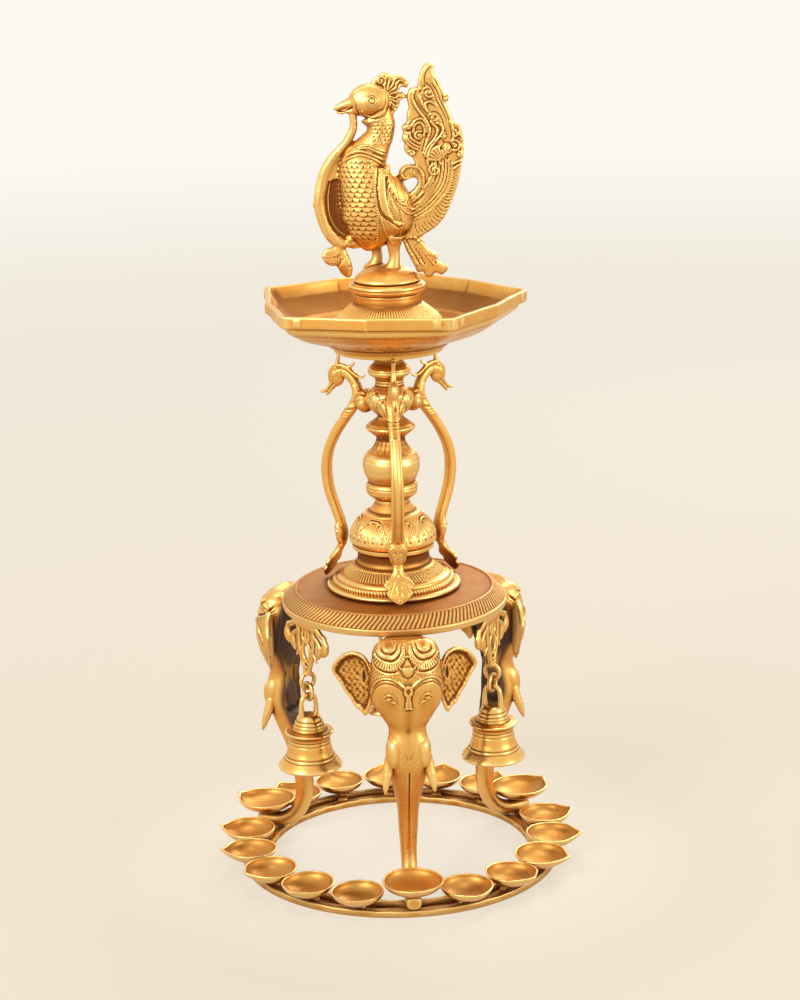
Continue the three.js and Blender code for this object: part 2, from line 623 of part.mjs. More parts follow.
const clapperPin = closed(new THREE.CylinderGeometry(pinRadius, pinRadius, pinLength, 6)
  .translate(0, 0, pinHeight));
const bell = join(bellShell, stirrup, clapperPin).translate(bellPlace, 0, 0);

// Clapper: a ball on a rod, its eye round the bell's pin
const clapperEyeRadius = pinRadius + clearance + 1.1;
const clapperEye = closed(new THREE.TorusGeometry(clapperEyeRadius, 1, 4, 8)
  .rotateX(Math.PI / 2).translate(0, 0, pinHeight));
const ballHeight = pinHeight - clapperLength + clapperBall;
const clapperRod = post(1.3, ballHeight, pinHeight - clapperEyeRadius, 6);
const clapperEnd = ball([0, 0, ballHeight], [clapperBall, clapperBall, clapperBall], 7, 4);
const clapper = join(clapperEye, clapperRod, clapperEnd).translate(bellPlace, 0, 0);

legAzimuths.forEach((legAzimuth, i) => {
  const azimuth = legAzimuth + 180 / legCount;
  addAt(azimuth, `bell_hanger_${i + 1}`, hanger.clone());
  addAt(azimuth, `hook_link_${i + 1}`, link.clone());
  addAt(azimuth, `bell_${i + 1}`, bell.clone());
  addAt(azimuth, `clapper_${i + 1}`, clapper.clone(), brass(0xb98a3c));
});

export default lamp;
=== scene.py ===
# A standing oil lamp in cast brass: a peacock over a five-spouted bowl, a turned stem with bird-headed
# brackets, a fluted platform on three elephant heads, hanging bells and a ring of small oil cups.
# Lengths in the code are millimetres and are scaled to metres where a mesh is made; Z is up.
import math

import bpy
import numpy as np
from mathutils import Matrix, Vector
from mathutils.geometry import tessellate_polygon


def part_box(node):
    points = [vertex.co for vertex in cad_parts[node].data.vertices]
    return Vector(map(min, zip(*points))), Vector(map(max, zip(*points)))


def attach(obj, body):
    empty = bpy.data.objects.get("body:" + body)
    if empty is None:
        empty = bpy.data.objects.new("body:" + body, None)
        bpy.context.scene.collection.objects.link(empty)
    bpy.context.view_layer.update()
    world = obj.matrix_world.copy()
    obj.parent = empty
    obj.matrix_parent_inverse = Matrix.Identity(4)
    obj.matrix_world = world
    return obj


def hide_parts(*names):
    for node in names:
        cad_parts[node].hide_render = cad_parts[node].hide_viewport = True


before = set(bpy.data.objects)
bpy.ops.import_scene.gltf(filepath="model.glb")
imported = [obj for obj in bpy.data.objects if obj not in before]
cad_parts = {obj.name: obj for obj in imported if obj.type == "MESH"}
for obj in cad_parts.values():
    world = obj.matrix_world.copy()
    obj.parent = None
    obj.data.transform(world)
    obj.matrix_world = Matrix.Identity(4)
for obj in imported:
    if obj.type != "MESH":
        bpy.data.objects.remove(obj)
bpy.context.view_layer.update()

# Camera
# It stands a little left of the front elephant and looks down on the lamp through a long lens,
# with the lamp's top leaning slightly to the left in the picture.
view_azimuth = math.radians(-4.27)
view_distance = 1.782
view_height = 0.767
view_pitch = math.radians(15.16)
view_roll = math.radians(1.35)

ahead_level = Vector((-math.sin(view_azimuth), math.cos(view_azimuth), 0))
ahead = ahead_level * math.cos(view_pitch) - Vector((0, 0, math.sin(view_pitch)))
level_right = Vector((math.cos(view_azimuth), math.sin(view_azimuth), 0))
level_up = level_right.cross(ahead)
picture_right = level_right * math.cos(view_roll) - level_up * math.sin(view_roll)
picture_up = level_right * math.sin(view_roll) + level_up * math.cos(view_roll)

lens = bpy.data.cameras.new("view")
lens.sensor_fit = "VERTICAL"
lens.sensor_height = 36
lens.lens = 88.6
lens.shift_x = 0.00787
lens.clip_end = 60
camera = bpy.data.objects.new("view", lens)
placed = Matrix((picture_right, picture_up, -ahead)).transposed().to_4x4()
placed.translation = -ahead_level * view_distance + Vector((0, 0, view_height))
camera.matrix_world = placed
bpy.context.scene.collection.objects.link(camera)
bpy.context.scene.camera = camera
bpy.context.scene.view_settings.view_transform = "Standard"

# Studio
# A pale floor under a cream sky, a large soft lamp in front to the left, and smaller ones to the right,
# overhead and behind, which is how polished brass is lit for a catalogue.
# The floor's colours hold painted light: a lighter pool round the lamp's foot and a darker band of painted
# shade near it. The far cream is the backdrop's own colour.
lit_pool_cream = (0.9, 0.825, 0.7)
falloff_cream = (0.8, 0.715, 0.588)
far_cream = (0.98, 0.953, 0.888)
floor_reach = 14.0


def node(tree, kind, **settings):
    """A new node of that kind with its sockets or properties set by name."""
    made = tree.nodes.new(kind)
    for key, value in settings.items():
        if key in made.inputs:
            made.inputs[key].default_value = value
        else:
            setattr(made, key, value)
    return made


def seen_or_mirrored(tree):
    """1 for rays from the camera and for those that metal or glass sends on, and 0 for the rest."""
    path = node(tree, "ShaderNodeLightPath")
    last = path.outputs["Is Camera Ray"]
    for other in ("Is Glossy Ray", "Is Transmission Ray"):
        either = node(tree, "ShaderNodeMath", operation="MAXIMUM")
        tree.links.new(last, either.inputs[0])
        tree.links.new(path.outputs[other], either.inputs[1])
        last = either.outputs[0]
    return last


sky_strength = 0.62
sky_tint = (1.0, 0.96, 0.9)
world = bpy.data.worlds.new("sky")
world.use_nodes = True
sky = world.node_tree
sky.nodes.clear()
sky_out = node(sky, "ShaderNodeOutputWorld")
sky_mix = node(sky, "ShaderNodeMixShader")
sky_light = node(sky, "ShaderNodeBackground", Strength=sky_strength)
sky_light.inputs["Color"].default_value = (*sky_tint, 1)
sky_seen = node(sky, "ShaderNodeBackground", Strength=1.0)
sky_seen.inputs["Color"].default_value = (*far_cream, 1)
sky.links.new(seen_or_mirrored(sky), sky_mix.inputs["Fac"])
sky.links.new(sky_light.outputs[0], sky_mix.inputs[1])
sky.links.new(sky_seen.outputs[0], sky_mix.inputs[2])
sky.links.new(sky_mix.outputs[0], sky_out.inputs["Surface"])
bpy.context.scene.world = world


def soft_lamp(name, place, aim_height, size, power, tint=(1, 1, 1)):
    """A square area lamp at place, turned so that it faces the lamp's axis at that height."""
    aim = Vector((0, 0, aim_height))
    lamp = bpy.data.lights.new(name, "AREA")
    lamp.size = size
    lamp.energy = power
    lamp.color = tint
    holder = bpy.data.objects.new(name, lamp)
    holder.location = place
    holder.rotation_euler = (aim - Vector(place)).to_track_quat("-Z", "Y").to_euler()
    bpy.context.scene.collection.objects.link(holder)


soft_lamp("key_lamp", (-1.5, -1.5, 1.5), 0.3, 1.0, 34, (1.0, 0.97, 0.92))
soft_lamp("fill_lamp", (1.8, -1.1, 0.9), 0.3, 0.9, 16, (1.0, 0.96, 0.9))
soft_lamp("top_lamp", (0.2, 0.4, 2.2), 0.3, 0.9, 14)
soft_lamp("back_lamp", (0.9, 1.6, 1.3), 0.35, 0.8, 14)

floor_mesh = bpy.data.meshes.new("floor")
floor_corners = [(x * floor_reach, y * floor_reach, 0) for x, y in ((-1, -1), (1, -1), (1, 1), (-1, 1))]
floor_mesh.from_pydata(floor_corners, [], [(0, 1, 2, 3)])
floor = bpy.data.objects.new("floor", floor_mesh)
bpy.context.scene.collection.objects.link(floor)

paper = bpy.data.materials.new("floor_paper")
paper.use_nodes = True
tree = paper.node_tree
tree.nodes.clear()
paper_out = node(tree, "ShaderNodeOutputMaterial")
place = node(tree, "ShaderNodeTexCoord")
spread = node(tree, "ShaderNodeVectorMath", operation="LENGTH")
tree.links.new(place.outputs["Object"], spread.inputs[0])
# Painted light on the floor: lighter round the lamp's foot, darker in a band near it, and paler again out to
# the backdrop.
shade = node(tree, "ShaderNodeValToRGB")
shade.color_ramp.elements[0].color = (*lit_pool_cream, 1)
shade.color_ramp.elements.new(0.03).color = (*falloff_cream, 1)
shade.color_ramp.elements[2].color = (*far_cream, 1)
reach = node(tree, "ShaderNodeMapRange")
reach.inputs["From Min"].default_value = 0.1
reach.inputs["From Max"].default_value = 4.5
tree.links.new(spread.outputs["Value"], reach.inputs["Value"])
tree.links.new(reach.outputs["Result"], shade.inputs["Fac"])
lit = node(tree, "ShaderNodeBsdfDiffuse")
glow = node(tree, "ShaderNodeEmission", Strength=1.0)
tree.links.new(shade.outputs["Color"], lit.inputs["Color"])
tree.links.new(shade.outputs["Color"], glow.inputs["Color"])
share = node(tree, "ShaderNodeMapRange")
for label, value in (("From Min", 0.5), ("From Max", 3.6), ("To Min", 0.74), ("To Max", 1.0)):
    share.inputs[label].default_value = value
tree.links.new(spread.outputs["Value"], share.inputs["Value"])
seen = node(tree, "ShaderNodeMath", operation="MULTIPLY")
tree.links.new(share.outputs["Result"], seen.inputs[1])
tree.links.new(seen_or_mirrored(tree), seen.inputs[0])
mixed = node(tree, "ShaderNodeMixShader")
tree.links.new(seen.outputs[0], mixed.inputs["Fac"])
tree.links.new(lit.outputs[0], mixed.inputs[1])
tree.links.new(glow.outputs[0], mixed.inputs[2])
tree.links.new(mixed.outputs[0], paper_out.inputs["Surface"])
floor_mesh.materials.append(paper)

# Base ring
# A flat brass ring sand-cast in one, with two rails and a channel between them, filed smooth on its
# outer edge. The whole lamp stands on its underside.
MM = 0.001
BRASS = (0.84, 0.46, 0.115)
# The dark colour for the inside of the elephants' hollow backs: partly unpolished metal, partly painted
# shade.
UNPOLISHED_AND_SHADE = (0.13, 0.09, 0.07)
# The deep brown that hollows and sheltered places go to: patina in the cuts, painted shade in folds and
# sheltered places.
BRASS_DEEP = (0.22, 0.07, 0.016)
ring_outer = 122.5
ring_inner = 100.5
ring_height = 5.0
ring_channel = (106.9, 116.1, 2.0)


def rounded(corners, radius=0.5, step=2.0, closed=False):
    """Points along straight runs between corners, each corner replaced by a parabola that leaves the
    runs radius before and after it, and each run cut into steps no longer than step."""
    corners = np.asarray(corners, float)
    count = len(corners)
    radius, step = (np.broadcast_to(np.asarray(value, float), count) for value in (radius, step))
    bends = []
    for i, here in enumerate(corners):
        if not closed and i in (0, count - 1):
            bends.append(here[None])
            continue
        back = corners[i - 1] - here
        on = corners[(i + 1) % count] - here
        back_length, on_length = np.linalg.norm(back), np.linalg.norm(on)
        start = here + back / back_length * min(radius[i], back_length * 0.48)
        end = here + on / on_length * min(radius[i], on_length * 0.48)
        t = np.linspace(0, 1, 4)[:, None]
        bends.append((1 - t) ** 2 * start + 2 * t * (1 - t) * here + t ** 2 * end)
    line = []
    for i, bend in enumerate(bends):
        line.append(bend)
        if closed or i + 1 < count:
            run = bends[(i + 1) % count][0] - bend[-1]
            parts = max(1, math.ceil(np.linalg.norm(run) / step[i]))
            line.append(bend[-1] + run * np.arange(1, parts)[:, None] / parts)
    return np.concatenate(line)


def wave_noise(points, size, seed):
    """Smooth unevenness from -1 to 1: the sum of six plane sine waves of about that size in
    directions that the seed picks."""
    chance = np.random.default_rng(seed)
    directions = chance.normal(size=(6, 3))
    directions /= np.linalg.norm(directions, axis=1)[:, None]
    lengths = size * chance.uniform(0.7, 1.6, 6)
    starts = chance.uniform(0, 2 * np.pi, 6)
    phases = points @ (directions / lengths[:, None]).T * 2 * np.pi + starts
    return np.sin(phases).mean(axis=-1) * 1.6


def turned(profile, columns, relief=None, closed=False, seed=1, wobble=0.06):
    """Revolves a profile of (radius, height) about Z. A row of points stands at each profile point;
    relief(radius, height, angle) is added along the profile's normal, in millimetres."""
    profile = np.asarray(profile, float)
    if closed:
        along = np.roll(profile, -1, 0) - np.roll(profile, 1, 0)
    else:
        along = np.gradient(profile, axis=0)
    along /= np.maximum(np.linalg.norm(along, axis=1), 1e-9)[:, None]
    normal = np.stack([along[:, 1], -along[:, 0]], 1)
    angle = np.linspace(0, 2 * np.pi, columns, endpoint=False)[None, :]
    radius, height = profile[:, :1], profile[:, 1:]
    grid = np.stack(np.broadcast_arrays(radius * np.cos(angle), radius * np.sin(angle), height), -1)
    raised = wobble * wave_noise(grid, 26, seed)
    if relief is not None:
        raised = raised + relief(radius, height, angle)
    raised = np.where(radius < 1e-6, 0, raised)
    out_radius = radius + normal[:, :1] * raised
    out_height = height + normal[:, 1:] * raised
    return np.stack([out_radius * np.cos(angle), out_radius * np.sin(angle), out_height], -1)


def skin(rings, closed=False, loop=True):
    """Points and quads over rows of points. Loop joins the ends of each row, and closed joins the last
    row to the first; otherwise the first and last rows get a fan of triangles round their middle."""
    rows, columns = rings.shape[:2]
    points = rings.reshape(-1, 3)
    i = np.arange(rows if closed else rows - 1)[:, None]
    j = np.arange(columns if loop else columns - 1)[None, :]
    up, side = (i + 1) % rows, (j + 1) % columns
    quads = np.stack(np.broadcast_arrays(
        i * columns + j, i * columns + side, up * columns + side, up * columns + j), -1).reshape(-1, 4)
    fans = np.zeros((0, 3), int)
    if not closed and loop:
        low, high = len(points), len(points) + 1
        points = np.vstack([points, rings[0].mean(0), rings[-1].mean(0)])
        edge = np.arange(columns)
        following = (edge + 1) % columns
        last = (rows - 1) * columns
        fans = np.vstack([
            np.stack([np.full(columns, low), following, edge], 1),
            np.stack([np.full(columns, high), last + edge, last + following], 1),
        ])
    return points, quads, fans


def gathered(*skins):
    """Several skins as one set of points, quads and triangles."""
    points, quads, fans, start = [], [], [], 0
    for p, q, f in skins:
        points.append(p)
        quads.append(q + start)
        fans.append(f + start)
        start += len(p)
    return np.concatenate(points), np.concatenate(quads), np.concatenate(fans)


def edges_of(quads, fans):
    """Each edge once as a pair of point numbers, lower number first."""
    pairs = [quads[:, [k, (k + 1) % 4]] for k in range(4)] + [fans[:, [k, (k + 1) % 3]] for k in range(3)]
    pairs = np.sort(np.concatenate(pairs), axis=1)
    return np.unique(pairs, axis=0)


def spread_out(values, edges, count, times):
    """Values at the points, each replaced by the mean of itself and its neighbours, times over."""
    a, b = edges[:, 0], edges[:, 1]
    share = 1 + np.bincount(a, minlength=count) + np.bincount(b, minlength=count)
    values = values.copy()
    for _ in range(times):
        total = values.copy()
        for k in range(values.shape[1]):
            total[:, k] += np.bincount(a, values[b, k], count) + np.bincount(b, values[a, k], count)
        values = total / share[:, None]
    return values


def normals_of(points, quads, fans):
    """Unit normals at the points: the sum of the normals of the faces round each, by their area."""
    total = np.zeros_like(points)
    for faces in (quads, fans):
        if len(faces) == 0:
            continue
        first, second, third, last = (points[faces[:, k]] for k in (0, 1, 2, -1))
        across = np.cross(third - first, last - second if faces.shape[1] == 4 else third - second)
        for k in range(faces.shape[1]):
            for axis in range(3):
                total[:, axis] += np.bincount(faces[:, k], across[:, axis], len(points))
    return total / np.maximum(np.linalg.norm(total, axis=1), 1e-12)[:, None]


def hollows_of(points, quads, fans):
    """How deep each point lies under its smoothed surroundings, in millimetres: above 0 in a groove,
    below 0 on an edge. Two reaches are added, one for fine cuts and one for folds."""
    edges = edges_of(quads, fans)
    normal = normals_of(points, quads, fans)
    near = spread_out(points, edges, len(points), 3)
    far = spread_out(near, edges, len(points), 12)
    fine = ((near - points) * normal).sum(1)
    broad = ((far - points) * normal).sum(1)
    return fine * 2.2 + broad * 0.9


def cast(name, shape, body, replaces=(), finish=None, unpolished_and_shade=None, painted_shade=0.0):
    """A Blender mesh object from points in millimetres, quads and triangles, smooth shaded, with its
    hollows and its dark inside (partly unpolished metal, partly painted shade) stored for the finish,
    riding on its body in the frame. Painted shade is added to the hollows where a part lies in shade,
    such as an elephant's ear front or the sheet behind the peacock's garland."""
    points, quads, fans = shape
    mesh = bpy.data.meshes.new(name)
    corners = np.concatenate([quads.ravel(), fans.ravel()]).astype(np.int32)
    starts = np.concatenate([np.arange(len(quads)) * 4, len(quads) * 4 + np.arange(len(fans)) * 3])
    mesh.vertices.add(len(points))
    mesh.vertices.foreach_set("co", (points * MM).astype(np.float32).ravel())
    mesh.loops.add(len(corners))
    mesh.loops.foreach_set("vertex_index", corners)
    mesh.polygons.add(len(starts))
    mesh.polygons.foreach_set("loop_start", starts.astype(np.int32))
    mesh.update(calc_edges=True)
    mesh.polygons.foreach_set("use_smooth", np.ones(len(starts), bool))
    hollow = mesh.attributes.new("hollow", "FLOAT", "POINT")
    # Painted shade, where a casting asks for it, is added to the hollows.
    hollow.data.foreach_set("value", (hollows_of(points, quads, fans) + painted_shade).astype(np.float32))
    # The dark inside, partly unpolished metal and partly painted shade, is stored for the finish.
    if unpolished_and_shade is not None:
        unpolished_and_shade_layer = mesh.attributes.new("unpolished_and_shade", "FLOAT", "POINT")
        unpolished_and_shade_layer.data.foreach_set("value", np.asarray(unpolished_and_shade, np.float32))
    mesh.materials.append(finish)
    piece = bpy.data.objects.new(name, mesh)
    bpy.context.scene.collection.objects.link(piece)
    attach(piece, body)
    if replaces:
        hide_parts(*replaces)
    return piece


def brass_group():
    """The shader group shared by every brass finish. Inputs are the two colours, how dark the hollows and
    sheltered places go, the roughness, how uneven the colour is, and the casting skin's depth and size.
    Noise mottles the colour; hollows and sheltered places go dark and rough, partly patina in the cuts and
    partly painted shade in folds and sheltered places; undersides go brown with painted shade; edges go
    bright with a painted highlight and go smooth; and fine noise gives the casting's skin."""
    group = bpy.data.node_groups.new("aged_and_shaded_brass", "ShaderNodeTree")
    face = group.interface
    for label, kind, value in (
        ("Bright", "NodeSocketColor", (*BRASS, 1)), ("Deep", "NodeSocketColor", (*BRASS_DEEP, 1)),
        ("Grime", "NodeSocketFloat", 1.0), ("Roughness", "NodeSocketFloat", 0.36),
        ("Mottle", "NodeSocketFloat", 0.5), ("Skin", "NodeSocketFloat", 0.25),
        ("Skin Size", "NodeSocketFloat", 900.0),
    ):
        face.new_socket(label, in_out="INPUT", socket_type=kind).default_value = value
    face.new_socket("Color", in_out="OUTPUT", socket_type="NodeSocketColor")
    face.new_socket("Roughness", in_out="OUTPUT", socket_type="NodeSocketFloat")
    face.new_socket("Normal", in_out="OUTPUT", socket_type="NodeSocketVector")
    link = group.links.new
    given = node(group, "NodeGroupInput")
    put = node(group, "NodeGroupOutput")
    place = node(group, "ShaderNodeTexCoord")
    hollow = node(group, "ShaderNodeAttribute", attribute_name="hollow")
    unpolished_and_shade = node(group, "ShaderNodeAttribute", attribute_name="unpolished_and_shade")

    def noise(scale, detail, rough=0.6):
        """Noise in the piece's own coordinates, from 0 to 1."""
        made = node(group, "ShaderNodeTexNoise", Scale=scale, Detail=detail, Roughness=rough)
        link(place.outputs["Object"], made.inputs["Vector"])
        return made.outputs["Fac"]

    def maths(operation, a, b, clamp=False):
        """The result of one operation on two values, each a number or a socket."""
        made = node(group, "ShaderNodeMath", operation=operation, use_clamp=clamp)
        for slot_number, value in enumerate((a, b)):
            if isinstance(value, (int, float)):
                made.inputs[slot_number].default_value = value
            else:
                link(value, made.inputs[slot_number])
        return made.outputs[0]

    def ranged(value, low, high, to_low, to_high):
        """The value's way from low to high, eased and carried over to another range."""
        made = node(group, "ShaderNodeMapRange", interpolation_type="SMOOTHSTEP")
        link(value, made.inputs["Value"])
        for label, number in (("From Min", low), ("From Max", high), ("To Min", to_low), ("To Max", to_high)):
            made.inputs[label].default_value = number
        return made.outputs["Result"]

    def blend(kind, share, a, b):
        """Colour a with colour b mixed in or multiplied on by that share."""
        made = node(group, "ShaderNodeMix", data_type="RGBA", blend_type=kind)
        for label, value in (("Factor", share), ("A", a), ("B", b)):
            socket = [s for s in made.inputs if s.name == label and s.enabled][0]
            if isinstance(value, (int, float)):
                socket.default_value = value
            elif isinstance(value, tuple):
                socket.default_value = (*value, 1)
            else:
                link(value, socket)
        return [s for s in made.outputs if s.enabled][0]

    patches = ranged(noise(34, 5), 0.36, 0.66, 0, 1)
    specks = ranged(noise(260, 4, 0.7), 0.42, 0.72, 0, 1)
    cut = ranged(hollow.outputs["Fac"], 0.02, 0.55, 0, 1)
    edge = ranged(hollow.outputs["Fac"], -0.02, -0.5, 0, 1)
    # Ambient occlusion finds sheltered places, which go dark: painted shade.
    shelter = node(group, "ShaderNodeAmbientOcclusion", Distance=0.016, samples=6)
    sheltered = ranged(shelter.outputs["AO"], 0.86, 0.3, 0, 0.72)
    turned_to = node(group, "ShaderNodeNewGeometry")
    facing = node(group, "ShaderNodeSeparateXYZ")
    link(turned_to.outputs["Normal"], facing.inputs[0])
    # Surfaces that face down are made darker and browner: painted shade on the undersides.
    below = ranged(facing.outputs["Z"], 0.15, -0.95, 0, 0.62)
    # Hollows and sheltered places are mixed towards the deep colour: patina in the cuts, painted shade in
    # folds and sheltered places.
    patina_and_shade = maths("MULTIPLY", maths("MAXIMUM", cut, sheltered), given.outputs["Grime"], True)
    uneven = maths("MULTIPLY", patches, given.outputs["Mottle"])
    warm = blend("MULTIPLY", uneven, given.outputs["Bright"], (0.93, 0.76, 0.56))
    flecked = blend("MULTIPLY", maths("MULTIPLY", specks, maths("MULTIPLY", given.outputs["Mottle"], 0.5)),
                    warm, (0.86, 0.72, 0.55))
    # Edges get a brighter, yellower colour: a painted highlight.
    lit_edge = blend("MIX", maths("MULTIPLY", edge, 0.7), flecked, (0.98, 0.7, 0.27))
    under = blend("MULTIPLY", below, lit_edge, (0.66, 0.46, 0.32))
    aged_and_shaded = blend("MIX", patina_and_shade, under, given.outputs["Deep"])
    # Places marked as the elephants' dark inside go dark: painted shade, partly the unpolished inside.
    link(blend("MIX", unpolished_and_shade.outputs["Fac"], aged_and_shaded, UNPOLISHED_AND_SHADE), put.inputs["Color"])
    rough = maths("ADD", given.outputs["Roughness"], maths("MULTIPLY", patches, 0.08))
    rough = maths("ADD", rough, maths("MULTIPLY", patina_and_shade, 0.28))
    rough = maths("ADD", rough, maths("MULTIPLY", unpolished_and_shade.outputs["Fac"], 0.35))
    link(maths("SUBTRACT", rough, maths("MULTIPLY", edge, 0.08), True), put.inputs["Roughness"])
    fine = node(group, "ShaderNodeTexNoise", Detail=3.0, Roughness=0.65)
    link(place.outputs["Object"], fine.inputs["Vector"])
    link(given.outputs["Skin Size"], fine.inputs["Scale"])
    pits = maths("ADD", fine.outputs["Fac"], maths("MULTIPLY", noise(210, 3), 0.8))
    bump = node(group, "ShaderNodeBump", Distance=0.0004)
    link(pits, bump.inputs["Height"])
    link(given.outputs["Skin"], bump.inputs["Strength"])
    link(bump.outputs["Normal"], put.inputs["Normal"])
    return group


aged_and_shaded_brass = brass_group()


def brass_finish(name, **values):
    """A brass material: the shared group feeds colour, roughness and normal of a metal shader."""
    finish = bpy.data.materials.new(name)
    finish.use_nodes = True
    tree = finish.node_tree
    shader = tree.nodes["Principled BSDF"]
    shader.inputs["Metallic"].default_value = 1.0
    group = tree.nodes.new("ShaderNodeGroup")
    group.node_tree = aged_and_shaded_brass
    for label, value in values.items():
        group.inputs[label].default_value = (*value, 1) if isinstance(value, tuple) else value
    for label, socket in (("Color", "Base Color"), ("Roughness", "Roughness"), ("Normal", "Normal")):
        tree.links.new(group.outputs[label], shader.inputs[socket])
    return finish


ring_finish = brass_finish("ring_brass", Roughness=0.4, Mottle=0.9, Skin=0.4)
channel_inner, channel_outer, channel_floor = ring_channel
ring_corners = [
    (ring_outer, 0), (ring_outer, ring_height), (channel_outer, ring_height), (channel_outer, channel_floor),
    (channel_inner, channel_floor), (channel_inner, ring_height), (ring_inner, ring_height), (ring_inner, 0),
]
ring_profile = rounded(ring_corners, [0.5, 1.2, 1.4, 0.5, 0.5, 1.4, 1.2, 0.5], 1.6, closed=True)


def filed(radius, height, angle):
    """Filing marks along the rails: slow waves round the ring that leave its underside flat."""
    slow = 0.16 * np.sin(angle * 23 + radius) + 0.12 * np.sin(angle * 41 - radius * 2)
    return slow * np.clip(height - 0.6, 0, 1)


cast("ring", skin(turned(ring_profile, 360, filed, closed=True, wobble=0), closed=True), "stand",
     ["base_ring"], ring_finish)

# Oil cups
# Eighteen small leaf-shaped cups hold oil and a wick. Fifteen stand on short posts soldered in the ring's
# channel, and three larger ones sit on the ends of the trunks. Each is set by hand, so none is quite alike.
cup_finish = brass_finish("cup_brass", Roughness=0.3, Mottle=0.7, Grime=0.4, Skin=0.16)
cup_wall = 1.5
ring_cup_pitch, ring_cup_radius, ring_cup_under, ring_cup_rim = 118, 19.8, 8.3, 18.6
trunk_cup_pitch, trunk_cup_radius, trunk_cup_under, trunk_cup_rim = 116.8, 22.8, 17.0, 27.4
post_pitch, post_foot, post_top = 111.6, 2.05, 9.5
cup_tip = 142.6
ring_cup_azimuths = [20, 40, 60, 80, 100, 140, 160, 180, 200, 220, 260, 280, 300, 320, 340]
trunk_azimuths = [0, 120, 240]


def at_azimuth(points, azimuth):
    """Points drawn with X pointing away from the lamp's axis, turned about Z to that azimuth, where 0 is
    the front (-Y) and degrees go counter-clockwise seen from above."""
    turn = math.radians(azimuth - 90)
    cos, sin = math.cos(turn), math.sin(turn)
    return points @ np.array([[cos, sin, 0], [-sin, cos, 0], [0, 0, 1]])


def placed_at(shape, azimuth):
    """A shape of points, quads and triangles turned to that azimuth."""
    points, quads, fans = shape
    return at_azimuth(points, azimuth), quads, fans


def between(value, low, high, edge=0.5):
    """1 from low to high, falling to 0 within edge outside them."""
    rising = np.clip((value - low) / edge + 1, 0, 1)
    return rising * np.clip((high - value) / edge + 1, 0, 1)


def groove(value, middle, width, depth):
    """A cut of that depth at middle, shaped like a bell curve of that width."""
    return -depth * np.exp(-((value - middle) / width * 2) ** 2)


def lobes(turns, power=0.7):
    """Rounded ridges from 0 to 1, one in each whole turn, with sharp valleys between them."""
    return np.abs(np.sin(np.pi * turns)) ** power


def leaf_reach(angle, radius, tip):
    """How far a leaf-shaped rim is from its middle: the radius, or further along the two straight lines
    that leave the circle as tangents and meet at the tip, with the tip's last bit rounded off."""
    turn = np.abs((angle + np.pi) % (2 * np.pi) - np.pi)
    start = math.acos(radius / tip)
    straight = np.where(turn < start, radius / np.cos(start - np.minimum(turn, start)), radius)
    return straight - (tip - radius) * 0.1 * np.exp(-(turn / 0.09) ** 2)


def cup_shape(middle, radius, under, rim, seed):
    """A cup as rings of points: up a rounded outside, over a thin rim and down a smooth inside. The rings
    blend from a circle at the foot to the leaf's outline at the rim, which lifts towards its tip."""
    chance = np.random.default_rng(seed)
    angle = np.linspace(0, 2 * np.pi, 72, endpoint=False)
    leaf = leaf_reach(angle, radius, cup_tip - middle) / radius - 1
    t = np.linspace(0, 1, 13)[:, None]
    outside = [0.97 * np.sin(t * np.pi / 2) ** 0.9 + 0.03 * t, 1 - np.cos(t * np.pi / 2) ** 1.25]
    lip = np.array([[1.0, 1.012], [0.985, 1.04], [0.955, 1.045], [0.93, 1.02]])
    inside = [0.925 * np.sin(t[::-1] * np.pi / 2) ** 0.8, 1 - np.cos(t[::-1] * np.pi / 2) ** 1.1]
    share = np.concatenate([outside[0], lip[:, :1], inside[0]])
    rise = np.concatenate([
        under + (rim - under) * outside[1], under + (rim - under) * lip[:, 1:],
        under + cup_wall + (rim - under - cup_wall) * inside[1],
    ])
    spread = share * (1 + leaf * np.clip(share, 0, 1) ** 3)
    dent = 0.012 * radius * np.sin(3 * angle + chance.uniform(0, 6)) * share ** 3
    reach = spread * radius + dent
    lift = 1.3 * (leaf / leaf.max()) ** 1.5 - 0.5 * np.sin(angle) ** 2
    height = rise + lift * share ** 3
    rings = np.stack([reach * np.cos(angle), reach * np.sin(angle), height + 0 * angle], -1)
    yaw, pitch, lean = np.radians(chance.uniform(-2.2, 2.2, 3))
    turned_x = rings[..., 0] * math.cos(yaw) - rings[..., 1] * math.sin(yaw)
    turned_y = rings[..., 0] * math.sin(yaw) + rings[..., 1] * math.cos(yaw)
    tipped = rings[..., 2] + turned_x * pitch * 0.5 + turned_y * lean * 0.7
    return np.stack([middle + turned_x, turned_y, tipped], -1)


def post_shape(middle, foot, top, seed):
    """A short cast post with a collar of solder round its foot and another under the cup."""
    chance = np.random.default_rng(seed)
    height = np.array([0, 0.05, 0.14, 0.3, 0.5, 0.7, 0.86, 0.95, 1.0])[:, None]
    width = np.array([4.5, 4.6, 4.3, 3.6, 3.3, 3.5, 4.4, 5.6, 5.0])[:, None]
    angle = np.linspace(0, 2 * np.pi, 24, endpoint=False)
    lump = 1 + 0.09 * np.sin(2 * angle + chance.uniform(0, 6)) * np.abs(2 * height - 1)
    reach = width * lump
    rise = foot + (top - foot) * height + 0 * angle
    return np.stack([middle + reach * np.cos(angle), reach * np.sin(angle), rise], -1)


for azimuth in ring_cup_azimuths:
    rings = cup_shape(ring_cup_pitch, ring_cup_radius, ring_cup_under, ring_cup_rim, azimuth)
    post = post_shape(post_pitch, post_foot, post_top, azimuth + 1)
    cast(f"cup_{azimuth}", placed_at(gathered(skin(rings), skin(post)), azimuth), "stand",
         [f"ring_cup_{azimuth}"], cup_finish)

